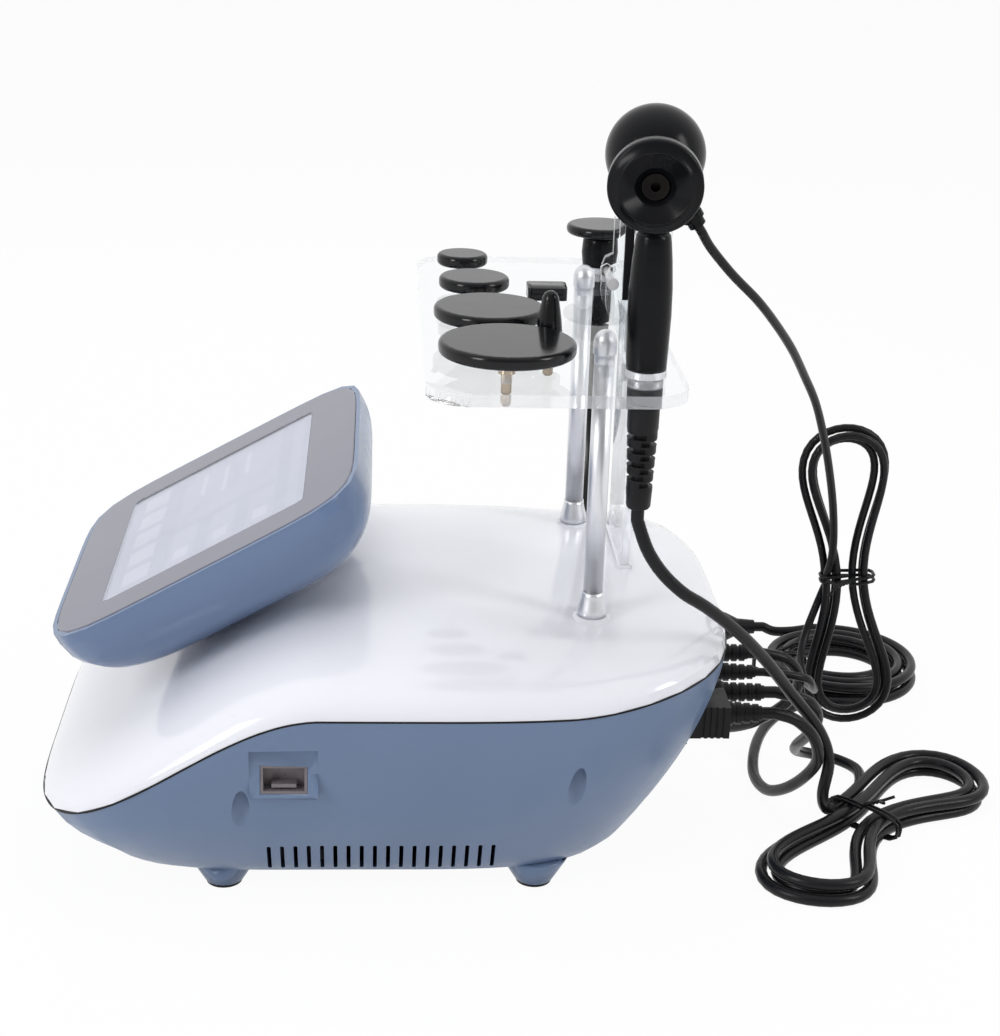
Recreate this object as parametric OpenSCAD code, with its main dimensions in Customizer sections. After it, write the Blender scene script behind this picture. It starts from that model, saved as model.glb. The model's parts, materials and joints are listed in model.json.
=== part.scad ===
// Desktop physiotherapy unit: a boat-shaped housing with a crowned cover, a tilting
// display head, a clear accessory tray on posts, three corded handpieces and loose electrodes.
// Millimetres, +Z up, display side towards -Y, origin under the middle of the housing.

/* [Housing] */
// Width of the housing at the seam
base_w = 304; // [296:1:312]
// Length of the housing at the seam
base_l = 384; // [376:1:392]
// Height of the seam at the front edge
seam_front_z = 54; // [50:1:58]
// Rise of the seam from the front edge to the flat middle
seam_rise = 71; // [69:1:73]
// Further rise of the seam towards the rear edge
seam_rear_rise = 10; // [7:1:13]
// Height of the crowned cover above the seam
crown_h = 32; // [30:1:33]
// Wall thickness of both shells
wall = 3; // [2:0.5:3.5]
// Open seam between the two shells
seam_gap = 0.4; // [0.2:0.1:0.8]
// Height of the flat underside above the table
belly_z = 12; // [10:1:14]
// Inward lean of the side walls from the seam to the underside
side_lean = 42; // [38:1:46]
// Radius of a stub foot where it stands
foot_r = 11; // [9:0.5:13]
// Distance of the stub feet in from the edge of the underside
foot_set = 15; // [12:1:20]
// Thickness of the soft pad under a foot
pad_t = 2; // [1:0.5:3]

/* [Side walls] */
// Number of vent slots on each side
vent_count = 18; // [12:1:20]
// Distance from slot to slot
vent_pitch = 7.2; // [6:0.2:7.6]
// Width of a vent slot
vent_w = 2.6; // [2:0.2:3.2]
// Height of a vent slot
vent_h = 21; // [14:1:24]
// Radius of a screw well
well_r = 5; // [4.5:0.5:6]
// Width of the flat pad round the service socket
port_pad_w = 36; // [32:1:40]
// Height of the flat pad round the service socket
port_pad_h = 30; // [28:1:32]
// Width of the service socket
port_w = 25; // [22:1:28]
// Height of the service socket
port_h = 17; // [15:1:19]
// Depth of the service socket
port_d = 10; // [8:0.5:12]

/* [Rear panel] */
// Width of the recess for the connectors
recess_w = 124; // [120:1:128]
// Height of the recess for the connectors
recess_h = 45; // [43:1:47]
// Height of the row of plugs
plug_z = 91; // [90:0.5:92]
// Distance between the handpiece sockets
socket_pitch = 28; // [26:0.5:29]
// Radius of a handpiece plug
plug_r = 7.5; // [6.5:0.25:8]

/* [Display head] */
// Width of the display head
head_w = 220; // [214:1:224]
// Height of the display head along its face
head_h = 190; // [186:1:194]
// Depth of the display head below its face
head_d = 45; // [44:0.5:46]
// Visible width of the screen
screen_w = 160; // [150:1:168]
// Visible height of the screen
screen_h = 124; // [116:1:132]
// Thickness of the front glass
glass_t = 3; // [2:0.5:4]
// Thickness of the screen panel
panel_t = 6; // [4:0.5:8]
// Radius of the hinge pin
hinge_r = 2.5; // [2:0.25:3]

/* [Tray] */
// Width of the clear tray
tray_w = 304; // [300:1:308]
// Length of the clear tray
tray_l = 132; // [130:1:136]
// Thickness of the clear tray
tray_t = 6.5; // [5:0.5:8]
// Height of the upper face of the tray
tray_z = 302.5; // [300:0.5:304]
// Corner radius of the tray
tray_r = 22; // [16:1:24]
// Radius of a post
post_r = 5.5; // [4.5:0.25:6]
// Thickness of the clear upright plates
plate_t = 5; // [4:0.5:5.5]

/* [Electrodes] */
// Thickness of the round electrodes
disc_t = 7; // [5:0.5:9]
// Radius of the electrode pins
pin_r = 2.75; // [2.25:0.25:3.25]
// Free height of the electrodes above the tray
disc_lift = 10.5; // [8:0.5:12]
// Length of a pin below the tray
pin_drop = 6; // [4:0.5:10]

/* [Handpieces] */
// Largest radius of the long grip
grip_r = 11.2; // [10.8:0.1:11.6]
// Length of the long grip above its ring
grip_l = 70; // [60:1:71]
// Radius of the collar that hangs in the tray
collar_r = 9.1; // [8.6:0.1:9.4]
// Length of the ribbed boot below the tray
boot_l = 64; // [60:1:66]
// Radius of the round palm grip
ball_r = 25.4; // [24.6:0.2:25.8]
// Radius of the flange of the palm handpiece
flange_r = 23.3; // [22:0.2:24]
// Thickness of the flange
flange_t = 9; // [7:0.5:10]
// Radius of the threaded socket in the flange
thread_r = 2.5; // [2:0.25:3]

/* [Cords] */
// Diameter of the cords of the stick handpieces
stick_d = 7; // [6:0.25:7.25]
// Diameter of the cord of the palm handpiece
palm_d = 5; // [4:0.25:5.25]
// Diameter of the mains cord
mains_d = 7; // [6:0.25:7.25]

/* [Hidden] */

$fn = 40;
slot_fn = 6;
boss_fn = 20;
SHELL_BLUE = [0.42, 0.49, 0.60];
COVER_WHITE = [0.93, 0.92, 0.97];
BEZEL_GREY = [0.60, 0.59, 0.63];
BLACK = [0.08, 0.08, 0.09];
STEEL = [0.78, 0.79, 0.82];
BRASS = [0.78, 0.62, 0.33];
CLEAR = [0.85, 0.88, 0.92, 0.4];
BOARD_GREEN = [0.10, 0.35, 0.22];
SCREEN = [0.78, 0.81, 0.87];

// Running clearance of pins, fit of seated pieces, space between bodies, overlap inside one solid
run_gap = 0.05;
fit_gap = 0.2;
body_gap = 0.3;
fuse = 0.5;

function smooth(t) = let(c = min(1, max(0, t))) c * c * (3 - 2 * c);

// The seam runs low at the front edge, flat over the middle and a little higher at the rear
half_w = base_w / 2;
half_l = base_l / 2;
seam_lead = 8;
seam_run = 165;
rear_lead = 97;
rear_rise_y = half_l - rear_lead;
rear_run = 100;
function seam_z(y) =
    seam_front_z + seam_rise * smooth((y + half_l + seam_lead) / seam_run)
    + seam_rear_rise * smooth((y - rear_rise_y) / rear_run);

// Plan outline of the housing: squarer at the front than at the rear
front_square = 5;
rear_square = 3.6;
ring_points = 64;
function square_of(y) = y < 0 ? front_square : rear_square;
function outline(inset) = [
    for (i = [0:ring_points - 1])
    let(a = 360 * i / ring_points, e = square_of(sin(a)))
    pow(pow(abs(cos(a)) / (half_w - inset), e) + pow(abs(sin(a)) / (half_l - inset), e), -1 / e)
    * [cos(a), sin(a)]
];
function plan_radius(x, y) =
    let(e = square_of(y)) pow(pow(abs(x) / half_w, e) + pow(abs(y) / half_l, e), 1 / e);

// Crown of the cover over the plan
crown_power = 2.7;
function crown(s) = sqrt(max(0, 1 - pow(s, crown_power)));
function cover_z(x, y) = seam_z(y) + seam_gap + crown_h * crown(plan_radius(x, y));
function crown_ring(s, inset) = [
    for (p = outline(inset))
    [p.x * s, p.y * s, seam_z(p.y * s) + seam_gap + (crown_h - inset) * crown(s)]
];
crown_levels = [0.25, 0.48, 0.66, 0.8, 0.9, 0.96, 0.99, 1];
vault_levels = [1, 0.93, 0.75, 0.4];

// Hull of the lower shell from the underside (v = 0) up to the seam (v = 1)
front_lean = 0.20;
rear_lean = 0.29;
function lean_x(v) = 1 - side_lean / half_w * pow(1 - v, 1.7);
function lean_y(v, y) = 1 - (y < 0 ? front_lean * pow(1 - v, 1.15) : rear_lean * pow(1 - v, 1.5));
function hull_ring(v, squeeze, inset, low_z) = [
    for (p = outline(inset))
    [
        p.x * lean_x(v) * squeeze, p.y * lean_y(v, p.y) * squeeze,
        low_z + (seam_z(p.y) - low_z) * v
    ]
];
function level_at(z, y) = (z - belly_z) / (seam_z(y) - belly_z);
function wall_x(z, y) =
    let(v = level_at(z, y), yo = y / lean_y(v, y), e = square_of(y))
    half_w * pow(1 - pow(abs(yo) / half_l, e), 1 / e) * lean_x(v);
hull_levels = [[0, 0.95], [0.02, 0.985], [0.08, 1], [0.22, 1], [0.4, 1], [0.6, 1], [0.8, 1], [1, 1]];
cavity_levels = [[1, 1], [0.6, 1], [0.25, 1], [0, 0.95]];
floor_z = belly_z + wall;

// Skin of triangles over closed rings of points, with a fan over each end
function ring_centre(ring) = [for (k = [0:2]) [for (p = ring) p[k]] * [for (p = ring) 1] / len(ring)];
module skin(rings) {
    n = len(rings[0]);
    m = len(rings);
    points = concat([for (r = rings) each r], [ring_centre(rings[0]), ring_centre(rings[m - 1])]);
    sides = [
        for (i = [0:m - 2], j = [0:n - 1])
        let(a = i * n + j, b = i * n + (j + 1) % n)
        each [[a, a + n, b + n], [a, b + n, b]]
    ];
    first_end = [for (j = [0:n - 1]) [m * n, j, (j + 1) % n]];
    last_end = [for (j = [0:n - 1]) [m * n + 1, (m - 1) * n + (j + 1) % n, (m - 1) * n + j]];
    polyhedron(points = points, faces = concat(sides, first_end, last_end));
}

// Box between two corners
module block(low, high) {
    translate(low) cube(high - low);
}

// Upright slot with round ends that passes along X
module slot_x(w, h, deep) {
    hull()
        for (s = [-1, 1])
            translate([0, 0, s * (h - w) / 2])
                rotate([0, 90, 0]) cylinder(h = deep, d = w, center = true, $fn = slot_fn);
}

// Tapered boss from one height up to another
module boss(place, low_z, high_z, low_r, high_r) {
    hull() {
        translate([place.x, place.y, low_z]) cylinder(h = 1, r = low_r, $fn = boss_fn);
        translate([place.x, place.y, high_z - 1]) cylinder(h = 1, r = high_r, $fn = boss_fn);
    }
}

// Rounded plate lying in XY, rising from z = 0
module rounded_plate(w, l, r, t) {
    linear_extrude(height = t)
        union() {
            square([w - 2 * r, l], center = true);
            square([w, l - 2 * r], center = true);
            for (x = [-1, 1], y = [-1, 1])
                translate([x * (w / 2 - r), y * (l / 2 - r)]) circle(r = r);
        }
}

// Solid of turning from [radius, height] corners
module turned(corners) {
    rotate_extrude() polygon(corners);
}

// Ribbed boot profile: corners of a taper with rings, from the wide end down
function ribs(r_top, r_low, z_top, pitch, count) = [
    for (i = [0:count - 1])
    let(r = r_top + (r_low - r_top) * i / count, z = z_top - i * pitch)
    each [[r, z], [r, z - pitch * 0.6], [r - 1.1, z - pitch * 0.6], [r - 1.1, z - pitch]]
];

// Rounded rim of a disc, from its lower face up to its upper one
function round_rim(r, t, rim) = [
    for (k = [0, 1], a = [0:22.5:90])
    [r - rim + rim * sin(a + 90 * k), k * (t - 2 * rim) + rim * (1 - cos(a + 90 * k))]
];

// Feet
foot_x = half_w - side_lean - foot_set;
foot_ends = [101.5, 108.5];
foot_y = [foot_ends[0] - half_l, half_l - foot_ends[1]];
foot_spread = 7;
foot_flat = 0.7;
foot_places = [for (x = [-foot_x, foot_x], y = foot_y) [x, y]];

// Screw wells in the side walls: place along the housing, and drop below the seam
well_set = 6.5;
well_ends = [114.5, 91];
well_drops = [25.3, 28.1];
well_sets = [[well_ends[0] - half_l, well_drops[0]], [half_l - well_ends[1], well_drops[1]]];
function well_z(s) = seam_z(s[0]) - s[1];
function well_x(s) = wall_x(well_z(s), s[0]) - well_set;
well_wall = 3;
screw_r = 2;
screw_head_r = 3.6;
screw_head_h = 3;
anchor_r = 4.5;
anchor_skip = 1.5;
anchor_deep = 14;
tap_over = 1.5;

// Service socket in the right side wall
port_set = 4.5;
port_x = half_w - port_set;
port_end = 137.5;
port_y = port_end - half_l;
port_below = 29.3;
port_z = seam_z(port_y) - port_below;
port_drop = 3.5;
tongue_w = 13;
tongue_t = 2;

// Row of vents low in both side walls
vent_y = -2.8;
vent_z = belly_z + 15.5;
vent_deep = 50;

// Recess at the rear with the power entry and the row of sockets
recess_set = 26;
recess_y = half_l - recess_set;
recess_x = 26;
recess_z = 98.5;
mains_x = 68;
mains_z = plug_z;
inlet_w = 31;
inlet_h = 24;
inlet_t = 2;
inlet_deep = 20;
inlet_slot = [21.5, 15.5];
inlet_pin = [2, 14, 6];
rocker_z = mains_z + inlet_h / 2 + 9;
rocker_w = 19;
rocker_h = 11;
rocker_deep = 12;
rocker_pin_r = 1.2;
rocker_lean = 7;
socket_x = [for (i = [0:2]) 40 - i * socket_pitch];
socket_r = 10.5;
socket_t = 2.5;
socket_deep = 16;
plug_start = recess_y + socket_t;
plug_body_l = 26;
relief_l = 24;
plug_end = plug_start + plug_body_l + relief_l;
mains_body = [27, 24, 19];
mains_relief_l = 20;
mains_start = recess_y + inlet_t + fit_gap;
mains_end = mains_start + mains_body.y + mains_relief_l;

// Posts that carry the tray, and the clear brace behind them
posts = [[74.6, 111.6], [-74.6, 114.7], [-72, 144]];
seat_rise = 1.4;
post_seat_r = 10;
function post_low(p) = cover_z(p.x, p.y) + seat_rise;
post_foot_r = 8.2;
post_foot_h = 14;
cap_r = 6.2;
cap_h = 8.5;
cap_groove = 0.8;
tray_low = tray_z - tray_t;
tray_y = 82;
brace_x = [-62, 4];
brace_y = 138;
brace_low = cover_z(brace_x[1], brace_y) + seat_rise;

// Display head: its own frame lies in the face, x across, y up the slope, z out of the face
head_tilt = 29.1;
head_square = 6.5;
head_points = 56;
head_rim = 2.5;
head_edge = 4;
head_swell = 2.5;
head_wall = 2.5;
glass_inset = 3;
ledge = 5;
function head_ring(s, inset, n) = [
    for (i = [0:head_points - 1])
    let(
        a = 360 * i / head_points,
        r = pow(pow(abs(cos(a)) / (head_w / 2 - inset), head_square)
            + pow(abs(sin(a)) / (head_h / 2 - inset), head_square), -1 / head_square)
    )
    [s * r * cos(a), s * r * sin(a), n]
];
slot_count = 10;
slot_pitch = 8;
slot_v = 36;
slot_w = 3;
slot_h = 14;
slot_deep = 9;
driver_size = [120, 76, 1.6];
driver_v = 2;
driver_chips = [[-50, 20, 30, 16, 3.4], [10, 14, 24, 22, 2.4]];
flat_s = 0.64;
function swell(s) = sqrt(max(0, 1 - pow(s, head_swell))) / sqrt(1 - pow(flat_s, head_swell));
function head_depth(s, inset) = -head_edge - (head_d - head_edge - inset) * swell(s);
head_levels = [0.64, 0.7, 0.78, 0.86, 0.92, 0.96, 0.985, 1];
head_cavity_levels = [1, 0.97, 0.9, 0.78, 0.64];

// Tilt hinge inside the head, carried by two ears on a pedestal of the cover
hinge_v = -20;
hinge_n = -30;
ear_r = 8;
ear_in = 22;
ear_t = 6;
lug_in = 38.5;
lug_t = 7;
pin_half = lug_in + lug_t;
door_w = 72;
door_l = 36;
seat_n = -49;
seat_w = 60;
seat_l = 28;
bracket_t = 2.5;
head_floor = head_wall - head_d;

// The seat stands a little proud of the cover, and the head takes its place from it
seat_end = 99.055;
seat_y = seat_end - half_l;
seat_proud = 1.12;
head_place = [
    0, seat_y - hinge_v * cos(head_tilt) + seat_n * sin(head_tilt),
    cover_z(0, seat_y) + seat_proud - hinge_v * sin(head_tilt) - seat_n * cos(head_tilt)
];
module on_head() {
    translate(head_place) rotate([head_tilt, 0, 0]) children();
}

// Stick handpieces: one long grip, and one short grip with a disc on it
near_place = [116, 128];
far_place = [-116, 128];
ring_h = 4;
ring_r = collar_r + 1.4;
seat_z = tray_z + fit_gap;
hole_r = collar_r + body_gap + 0.1;
collar_drop = 6;
sleeve_r = 7.5;
sleeve_l = 24;
boot_end_z = tray_low - boot_l;
far_grip_l = 19.5;
far_disc_r = 21;
far_disc_t = 6;

// Palm handpiece: ball at the back, flange towards +X and a little down
ball_place = [84, 131, 409.5];
face_place = [141, 124, 403];
palm_turn = [0, 96.4, -7];
face_reach = norm(face_place - ball_place);
neck_r = 13;
face_ring = [17, 18.5, 1.2];
socket_hole_r = 10;
socket_hole_d = 3;
thread_l = flange_t - 1;
palm_boot = [[84, 145, 388.5], [82, 155, 373.5]];
module on_palm() {
    translate(face_place) rotate(palm_turn) children();
}

// Two clear plates that cradle the ball, tied by a spacer and a screw
cradle_half = 12;
cradle_reach = sqrt(pow(ball_r, 2) - pow(cradle_half - plate_t / 2, 2)) + body_gap;
cradle_x = [for (s = [-1, 1]) ball_place.x + s * cradle_half - plate_t / 2];
cradle_outline = [
    [121, tray_z], [118.5, 312], [109, 331], [108, 336], [108, 350], [109.5, 354], [113.5, 356],
    [113.5, 396], [140, 396], [140, tray_z]
];
spacer_y = [119, 124];
spacer_z = 375;
cradle_screw = [111, 346];
pad_strip = [[116, 338], [120.5, 385]];
pad_strip_t = 2;

// Electrodes in the tray
disc_ds = [70, 60, 40, 30];
disc_70_at = [114, 57.5];
disc_60_at = [43, 52];
disc_40_at = [-25, 46.7];
disc_30_at = [-83, 42.2];
bar_at = [-5, 86.5];
cone_at = [78, 81.5];
collar_t = 2.5;
pin_collar_r = pin_r + 1.7;
pin_socket = 3.5;
bar_size = [18, 22, 7];
cone_r = 6.75;
cone_h = 24;
disc_low = tray_z + disc_lift;
rim_r = 2.4;

// Inner parts on the floor of the lower shell
fan_size = 60;
fan_t = 15;
fan_set = 74;
fan_x = half_w - fan_set;
fan_bore_r = 28;
fan_tip_r = 27;
fan_hub_r = 12;
fan_shaft_r = 2;
fan_back = 3;
fan_gap = 1;
fan_z = floor_z + fan_size / 2;
supply_low = [-76, -6];
supply_size = [72, 108, 38];
board_end = 64;
board_left = 60;
board_low = [-board_left, board_end - half_l];
board_size = [110, 84, 1.6];
boss_h = 8;
boss_r = 4;
boss_inset = 6;
sink_on = [20, 16];
sink_low = board_low + sink_on;
sink_size = [60, 44, 26];
sink_fins = 8;
sink_base = 4;

// Unit vectors, sweeps and curves for the cords
function unit(v) = v / norm(v);
function curve_at(p, i, u) =
    let(a = p[max(0, i - 1)], b = p[i], c = p[i + 1], d = p[min(len(p) - 1, i + 2)])
    0.5 * (2 * b + (c - a) * u + (2 * a - 5 * b + 4 * c - d) * u * u + (3 * b - a - 3 * c + d) * u * u * u);
function curve(p, per) = concat(
    [for (i = [0:len(p) - 2], k = [0:per - 1]) curve_at(p, i, k / per)],
    [p[len(p) - 1]]
);
function tangents(p) = [
    for (i = [0:len(p) - 1]) unit(p[min(len(p) - 1, i + 1)] - p[max(0, i - 1)])
];
// Frames carried along the path without twist
function carry(t, i, x) =
    i == len(t) ? [] : let(y = unit(x - (x * t[i]) * t[i])) concat([y], carry(t, i + 1, y));
module tube(p, d, sides) {
    t = tangents(p);
    start = abs(t[0].z) < 0.9 ? [0, 0, 1] : [1, 0, 0];
    x = carry(t, 0, start);
    skin([
        for (i = [0:len(p) - 1])
        let(y = cross(t[i], x[i]))
        [for (j = [0:sides - 1]) p[i] + d / 2 * (cos(360 * j / sides) * x[i] + sin(360 * j / sides) * y)]
    ]);
}

// A hank: loops laid side by side in two layers, spiralling in and out, drawn in at the waist
hank_waist = 0.8;
hank_step = 2;
hank_rise = 0.8;
hank_rings = 24;
hank_sides = 6;
function hank_shape(half, lobe, d, a) =
    let(w = d / 2 + hank_waist, l = w + lobe * pow(cos(a), 2))
    [
        [half * cos(a), l * sin(a)],
        [-half * sin(a), l * cos(a) - 2 * lobe * cos(a) * pow(sin(a), 2)]
    ];
// One point of a hank: along, across, and up through the layers, with t counted in loops
function hank_point(h, d, t) =
    let(
        loops = h[0], half = h[1], lobe = h[2], bend = h[3], shift = h[4], a = h[5] + 360 * t,
        q = hank_shape(half, lobe, d, a), k = abs(t - loops / 2) * (d + hank_step),
        o = q[0] + k * unit([q[1].y, -q[1].x]), s = o.x + shift,
        climb = smooth((t - loops / 2) * 2 + 0.5), layer = h[6] ? 1 - climb : climb
    )
    [s, o.y + bend * s * s, d / 2 + (d + hank_rise) * layer];
function hank_path(h, d, rings) = [
    for (i = [0:round(h[0] * rings)]) hank_point(h, d, i / rings)
];
// Least open space between turns of a path, skipping each point's own neighbours
function least_gap(p, d, skip) = min([
    for (i = [0:len(p) - 1], j = [i + skip:1:len(p) - 1]) norm(p[i] - p[j])
]) - d;

// Hanks and coil: loops, half length, lobe, bend, shift, start angle, upper layer first
near_form = [3, 88, 46, 0, -15, 270, true];
near_bow = 0.0042;
near_axis = unit([-0.69, 0.72, 0]);
near_side = [near_axis.y, -near_axis.x, 0];
near_waist = [29, 296, 0];
palm_form = [3, 91, 41, 0, 0, 90, false];
palm_axis = unit([0, -0.1, 1]);
palm_side = cross(palm_axis, [-1, 0, 0]);
palm_waist = [-86.5, 295, 111];
far_form = [3.5, 86, 46, 0, 0, 90, true];
far_waist = [-205, 95, 0];
coil_loops = 5.5;
coil_r = 28.7;
coil_place = [-185, 318, 0];
// The near hank lies in a bow: its length runs along an arc on the table
function bowed(p, bow) =
    let(a = bow * p.x * 180 / PI)
    [(1 / bow - p.y) * sin(a), 1 / bow - (1 / bow - p.y) * cos(a), p.z];
function near_hank_at(p) =
    let(q = bowed(p, near_bow))
    near_waist + q.x * near_axis + q.y * near_side + [0, 0, q.z];
function palm_hank_at(p) = palm_waist + p.x * palm_axis + p.y * palm_side - [p.z, 0, 0];
function far_hank_at(p) = far_waist + [-p.y, p.x, p.z];
function coil_at(t) =
    let(r = coil_r + abs(t - coil_loops / 2) * (mains_d + hank_step))
    coil_place + [
        r * cos(360 * t), r * sin(360 * t),
        mains_d / 2 + (mains_d + hank_rise) * smooth((t - coil_loops / 2) * 2 + 0.5)
    ];
near_loops = [for (p = hank_path(near_form, stick_d, hank_rings)) near_hank_at(p)];
palm_loops = [for (p = hank_path(palm_form, palm_d, hank_rings)) palm_hank_at(p)];
far_loops = [for (p = hank_path(far_form, stick_d, hank_rings)) far_hank_at(p)];
coil_turns = [for (i = [0:round(coil_loops * hank_rings)]) coil_at(i / hank_rings)];
echo(least_gap_near_hank = least_gap(near_loops, stick_d, 8));
echo(least_gap_palm_hank = least_gap(palm_loops, palm_d, 8));
echo(least_gap_far_hank = least_gap(far_loops, stick_d, 8));
echo(least_gap_mains_coil = least_gap(coil_turns, mains_d, 8));

// A free stretch: straight for one diameter at both ends, curved through its route between them
function first_way(p) = unit(p[1] - p[0]);
function last_way(p) = unit(p[len(p) - 1] - p[len(p) - 2]);
function free(start, start_way, route, end, end_way, d) = concat(
    [start],
    curve(concat([start + d * start_way], route, [end - d * end_way]), 2),
    [end]
);
function last(p) = p[len(p) - 1];
rear_way = [0, 1, 0];
down_way = [0, 0, -1];
palm_boot_way = unit(palm_boot[1] - palm_boot[0]);

// Route points of the free stretches
near_route = [
    [117, 134, 209], [115, 143, 195], [113, 155, 183], [107, 168, 173], [98, 182, 160], [87, 197, 144],
    [74, 213, 124], [61, 230, 100], [52.5, 250, 73], [51, 258, 52.5], [50.5, 256.5, 30.5], [43, 261, 17]
];
near_lead_route = [
    [38, 246, 84], [27, 255, 68], [8, 255, 48], [-14, 254, 30], [-36, 259, 15], [-49, 272, 6],
    [-46, 288, 3.5], [-31, 298, 3.5], [-10, 294.5, 3.5], [9, 285, 3.5]
];
palm_route = [
    [76, 164, 360], [66, 178, 344], [52, 195, 327], [34, 210, 309], [14, 224, 290], [-8, 237, 269],
    [-28, 250, 246], [-46, 261, 219], [-61, 270, 192], [-73, 277, 166], [-80, 281, 143], [-84, 282, 127]
];
palm_lead_route = [
    [9, 249, 86], [-4, 258, 74], [-26, 264, 62], [-50, 264, 57], [-72, 265, 61], [-86, 270, 73],
    [-93, 277, 90]
];
far_route = [
    [-118, 128, 210], [-126, 129, 194], [-140, 131, 178], [-158, 132, 160], [-176, 133, 138],
    [-192, 133, 112], [-205, 132, 84], [-216, 129, 56], [-225, 123, 29], [-226, 113, 15.5]
];
far_lead_route = [
    [-18, 243, 86], [-23, 253, 73], [-31, 253, 56], [-42, 244, 39], [-57, 231, 23], [-77, 219, 11],
    [-100, 211, 5], [-128, 200, 3.5], [-151, 184, 3.5], [-164, 163, 3.5], [-174, 141, 3.5],
    [-180.5, 121, 3.5]
];
mains_route = [
    [67, 233, 86], [64, 245, 73], [56, 250, 55], [43, 246, 37], [25, 239, 20], [3, 233, 8], [-25, 231, 3.5],
    [-58, 237, 3.5], [-90, 249, 3.5], [-116, 267, 3.5], [-130, 289, 3.5]
];
tail_route = [[-237, 296, 10], [-239, 283, 9]];
plug_place = [-240, 268, 12];

near_free = free(
    [near_place.x, near_place.y, boot_end_z], down_way, near_route,
    near_loops[0], first_way(near_loops), stick_d
);
near_lead = free(
    [socket_x[0], plug_end, plug_z], rear_way, near_lead_route,
    last(near_loops), -last_way(near_loops), stick_d
);
palm_free = free(
    palm_boot[1], palm_boot_way, palm_route,
    palm_loops[0], first_way(palm_loops), palm_d
);
palm_lead = free(
    [socket_x[1], plug_end, plug_z], rear_way, palm_lead_route,
    last(palm_loops), -last_way(palm_loops), palm_d
);
far_free = free(
    [far_place.x, far_place.y, boot_end_z], down_way, far_route,
    far_loops[0], first_way(far_loops), stick_d
);
far_lead = free(
    [socket_x[2], plug_end, plug_z], rear_way, far_lead_route,
    last(far_loops), -last_way(far_loops), stick_d
);
mains_lead = free(
    [mains_x, mains_end, mains_z], rear_way, mains_route,
    coil_turns[0], first_way(coil_turns), mains_d
);
mains_tail = free(last(coil_turns), last_way(coil_turns), tail_route, plug_place, -rear_way, mains_d);
cord_sides = 8;

// Stub foot, wider along the housing where it grows out of the underside
module foot_stub(place) {
    hull() {
        translate([place.x, place.y, pad_t]) cylinder(h = 1, r = foot_r, $fn = boss_fn);
        translate([place.x, place.y, floor_z - 2])
            scale([foot_flat, 1, 1]) cylinder(h = 1, r = foot_r + foot_spread, $fn = boss_fn);
    }
}

module hull_solid() {
    skin([for (l = hull_levels) hull_ring(l[0], l[1], 0, belly_z)]);
}

module hull_shell() {
    skin(concat(
        [for (l = hull_levels) hull_ring(l[0], l[1], 0, belly_z)],
        [for (l = cavity_levels) hull_ring(l[0], l[1], wall, floor_z)]
    ));
}

// Lower shell with feet, vents, screw wells, the service pad and the rear recess
module base_shell() {
    color(SHELL_BLUE)
        difference() {
            union() {
                hull_shell();
                intersection() {
                    hull_solid();
                    union() {
                        block(
                            [recess_x - recess_w / 2 - wall, recess_y - wall, recess_z - recess_h / 2 - wall],
                            [recess_x + recess_w / 2 + wall, half_l, recess_z + recess_h / 2 + wall]
                        );
                        for (s = well_sets, m = [0, 1])
                            mirror([m, 0, 0])
                                translate([well_x(s), s[0], floor_z])
                                    cylinder(
                                        h = well_z(s) + well_wall - floor_z,
                                        r = well_r + well_wall, $fn = boss_fn
                                    );
                        block([port_x - port_d - 2 * wall, port_y - port_pad_w / 2, port_z - port_pad_h / 2],
                            [half_w, port_y + port_pad_w / 2, port_z + port_pad_h / 2]);
                    }
                }
                block([port_x - 2 * wall, port_y - port_pad_w / 2, port_z - port_pad_h / 2],
                    [port_x, port_y + port_pad_w / 2, port_z]);
                for (p = foot_places)
                    foot_stub(p);
                for (x = [0, 1], y = [0, 1])
                    boss(
                        [board_low.x + boss_inset + x * (board_size.x - 2 * boss_inset),
                            board_low.y + boss_inset + y * (board_size.y - 2 * boss_inset)],
                        floor_z - 1, floor_z + boss_h, boss_r + 1, boss_r
                    );
            }
            for (i = [0:vent_count - 1], m = [0, 1])
                mirror([m, 0, 0])
                    translate([half_w - side_lean, vent_y + (i - (vent_count - 1) / 2) * vent_pitch, vent_z])
                        slot_x(vent_w, vent_h, vent_deep);
            for (s = well_sets, m = [0, 1])
                mirror([m, 0, 0])
                    translate([well_x(s), s[0], 0]) {
                        cylinder(h = well_z(s), r = well_r, $fn = boss_fn);
                        cylinder(h = seam_z(s[0]), r = screw_r + fit_gap, $fn = boss_fn);
                    }
            block([port_x, port_y - port_pad_w / 2, port_z - port_pad_h / 2],
                [half_w + fuse, port_y + port_pad_w / 2, port_z + port_pad_h / 2]);
            block([port_x - port_d, port_y - port_w / 2, port_z - port_drop - port_h / 2],
                [half_w, port_y + port_w / 2, port_z - port_drop + port_h / 2]);
            block([recess_x - recess_w / 2, recess_y, recess_z - recess_h / 2],
                [recess_x + recess_w / 2, half_l + fuse, recess_z + recess_h / 2]);
            for (x = socket_x)
                translate([x, recess_y, plug_z])
                    rotate([90, 0, 0]) cylinder(h = 10, r = plug_r - 1, center = true, $fn = boss_fn);
            translate([mains_x - inlet_slot.x / 2 - 2, recess_y - 5, mains_z - inlet_slot.y / 2 - 2])
                cube([inlet_slot.x + 4, 10, inlet_slot.y + 4]);
            translate([mains_x - rocker_w / 2 - 2, recess_y - 5, rocker_z - rocker_h / 2 - 2])
                cube([rocker_w + 4, 10, rocker_h + 4]);
        }
}

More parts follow.
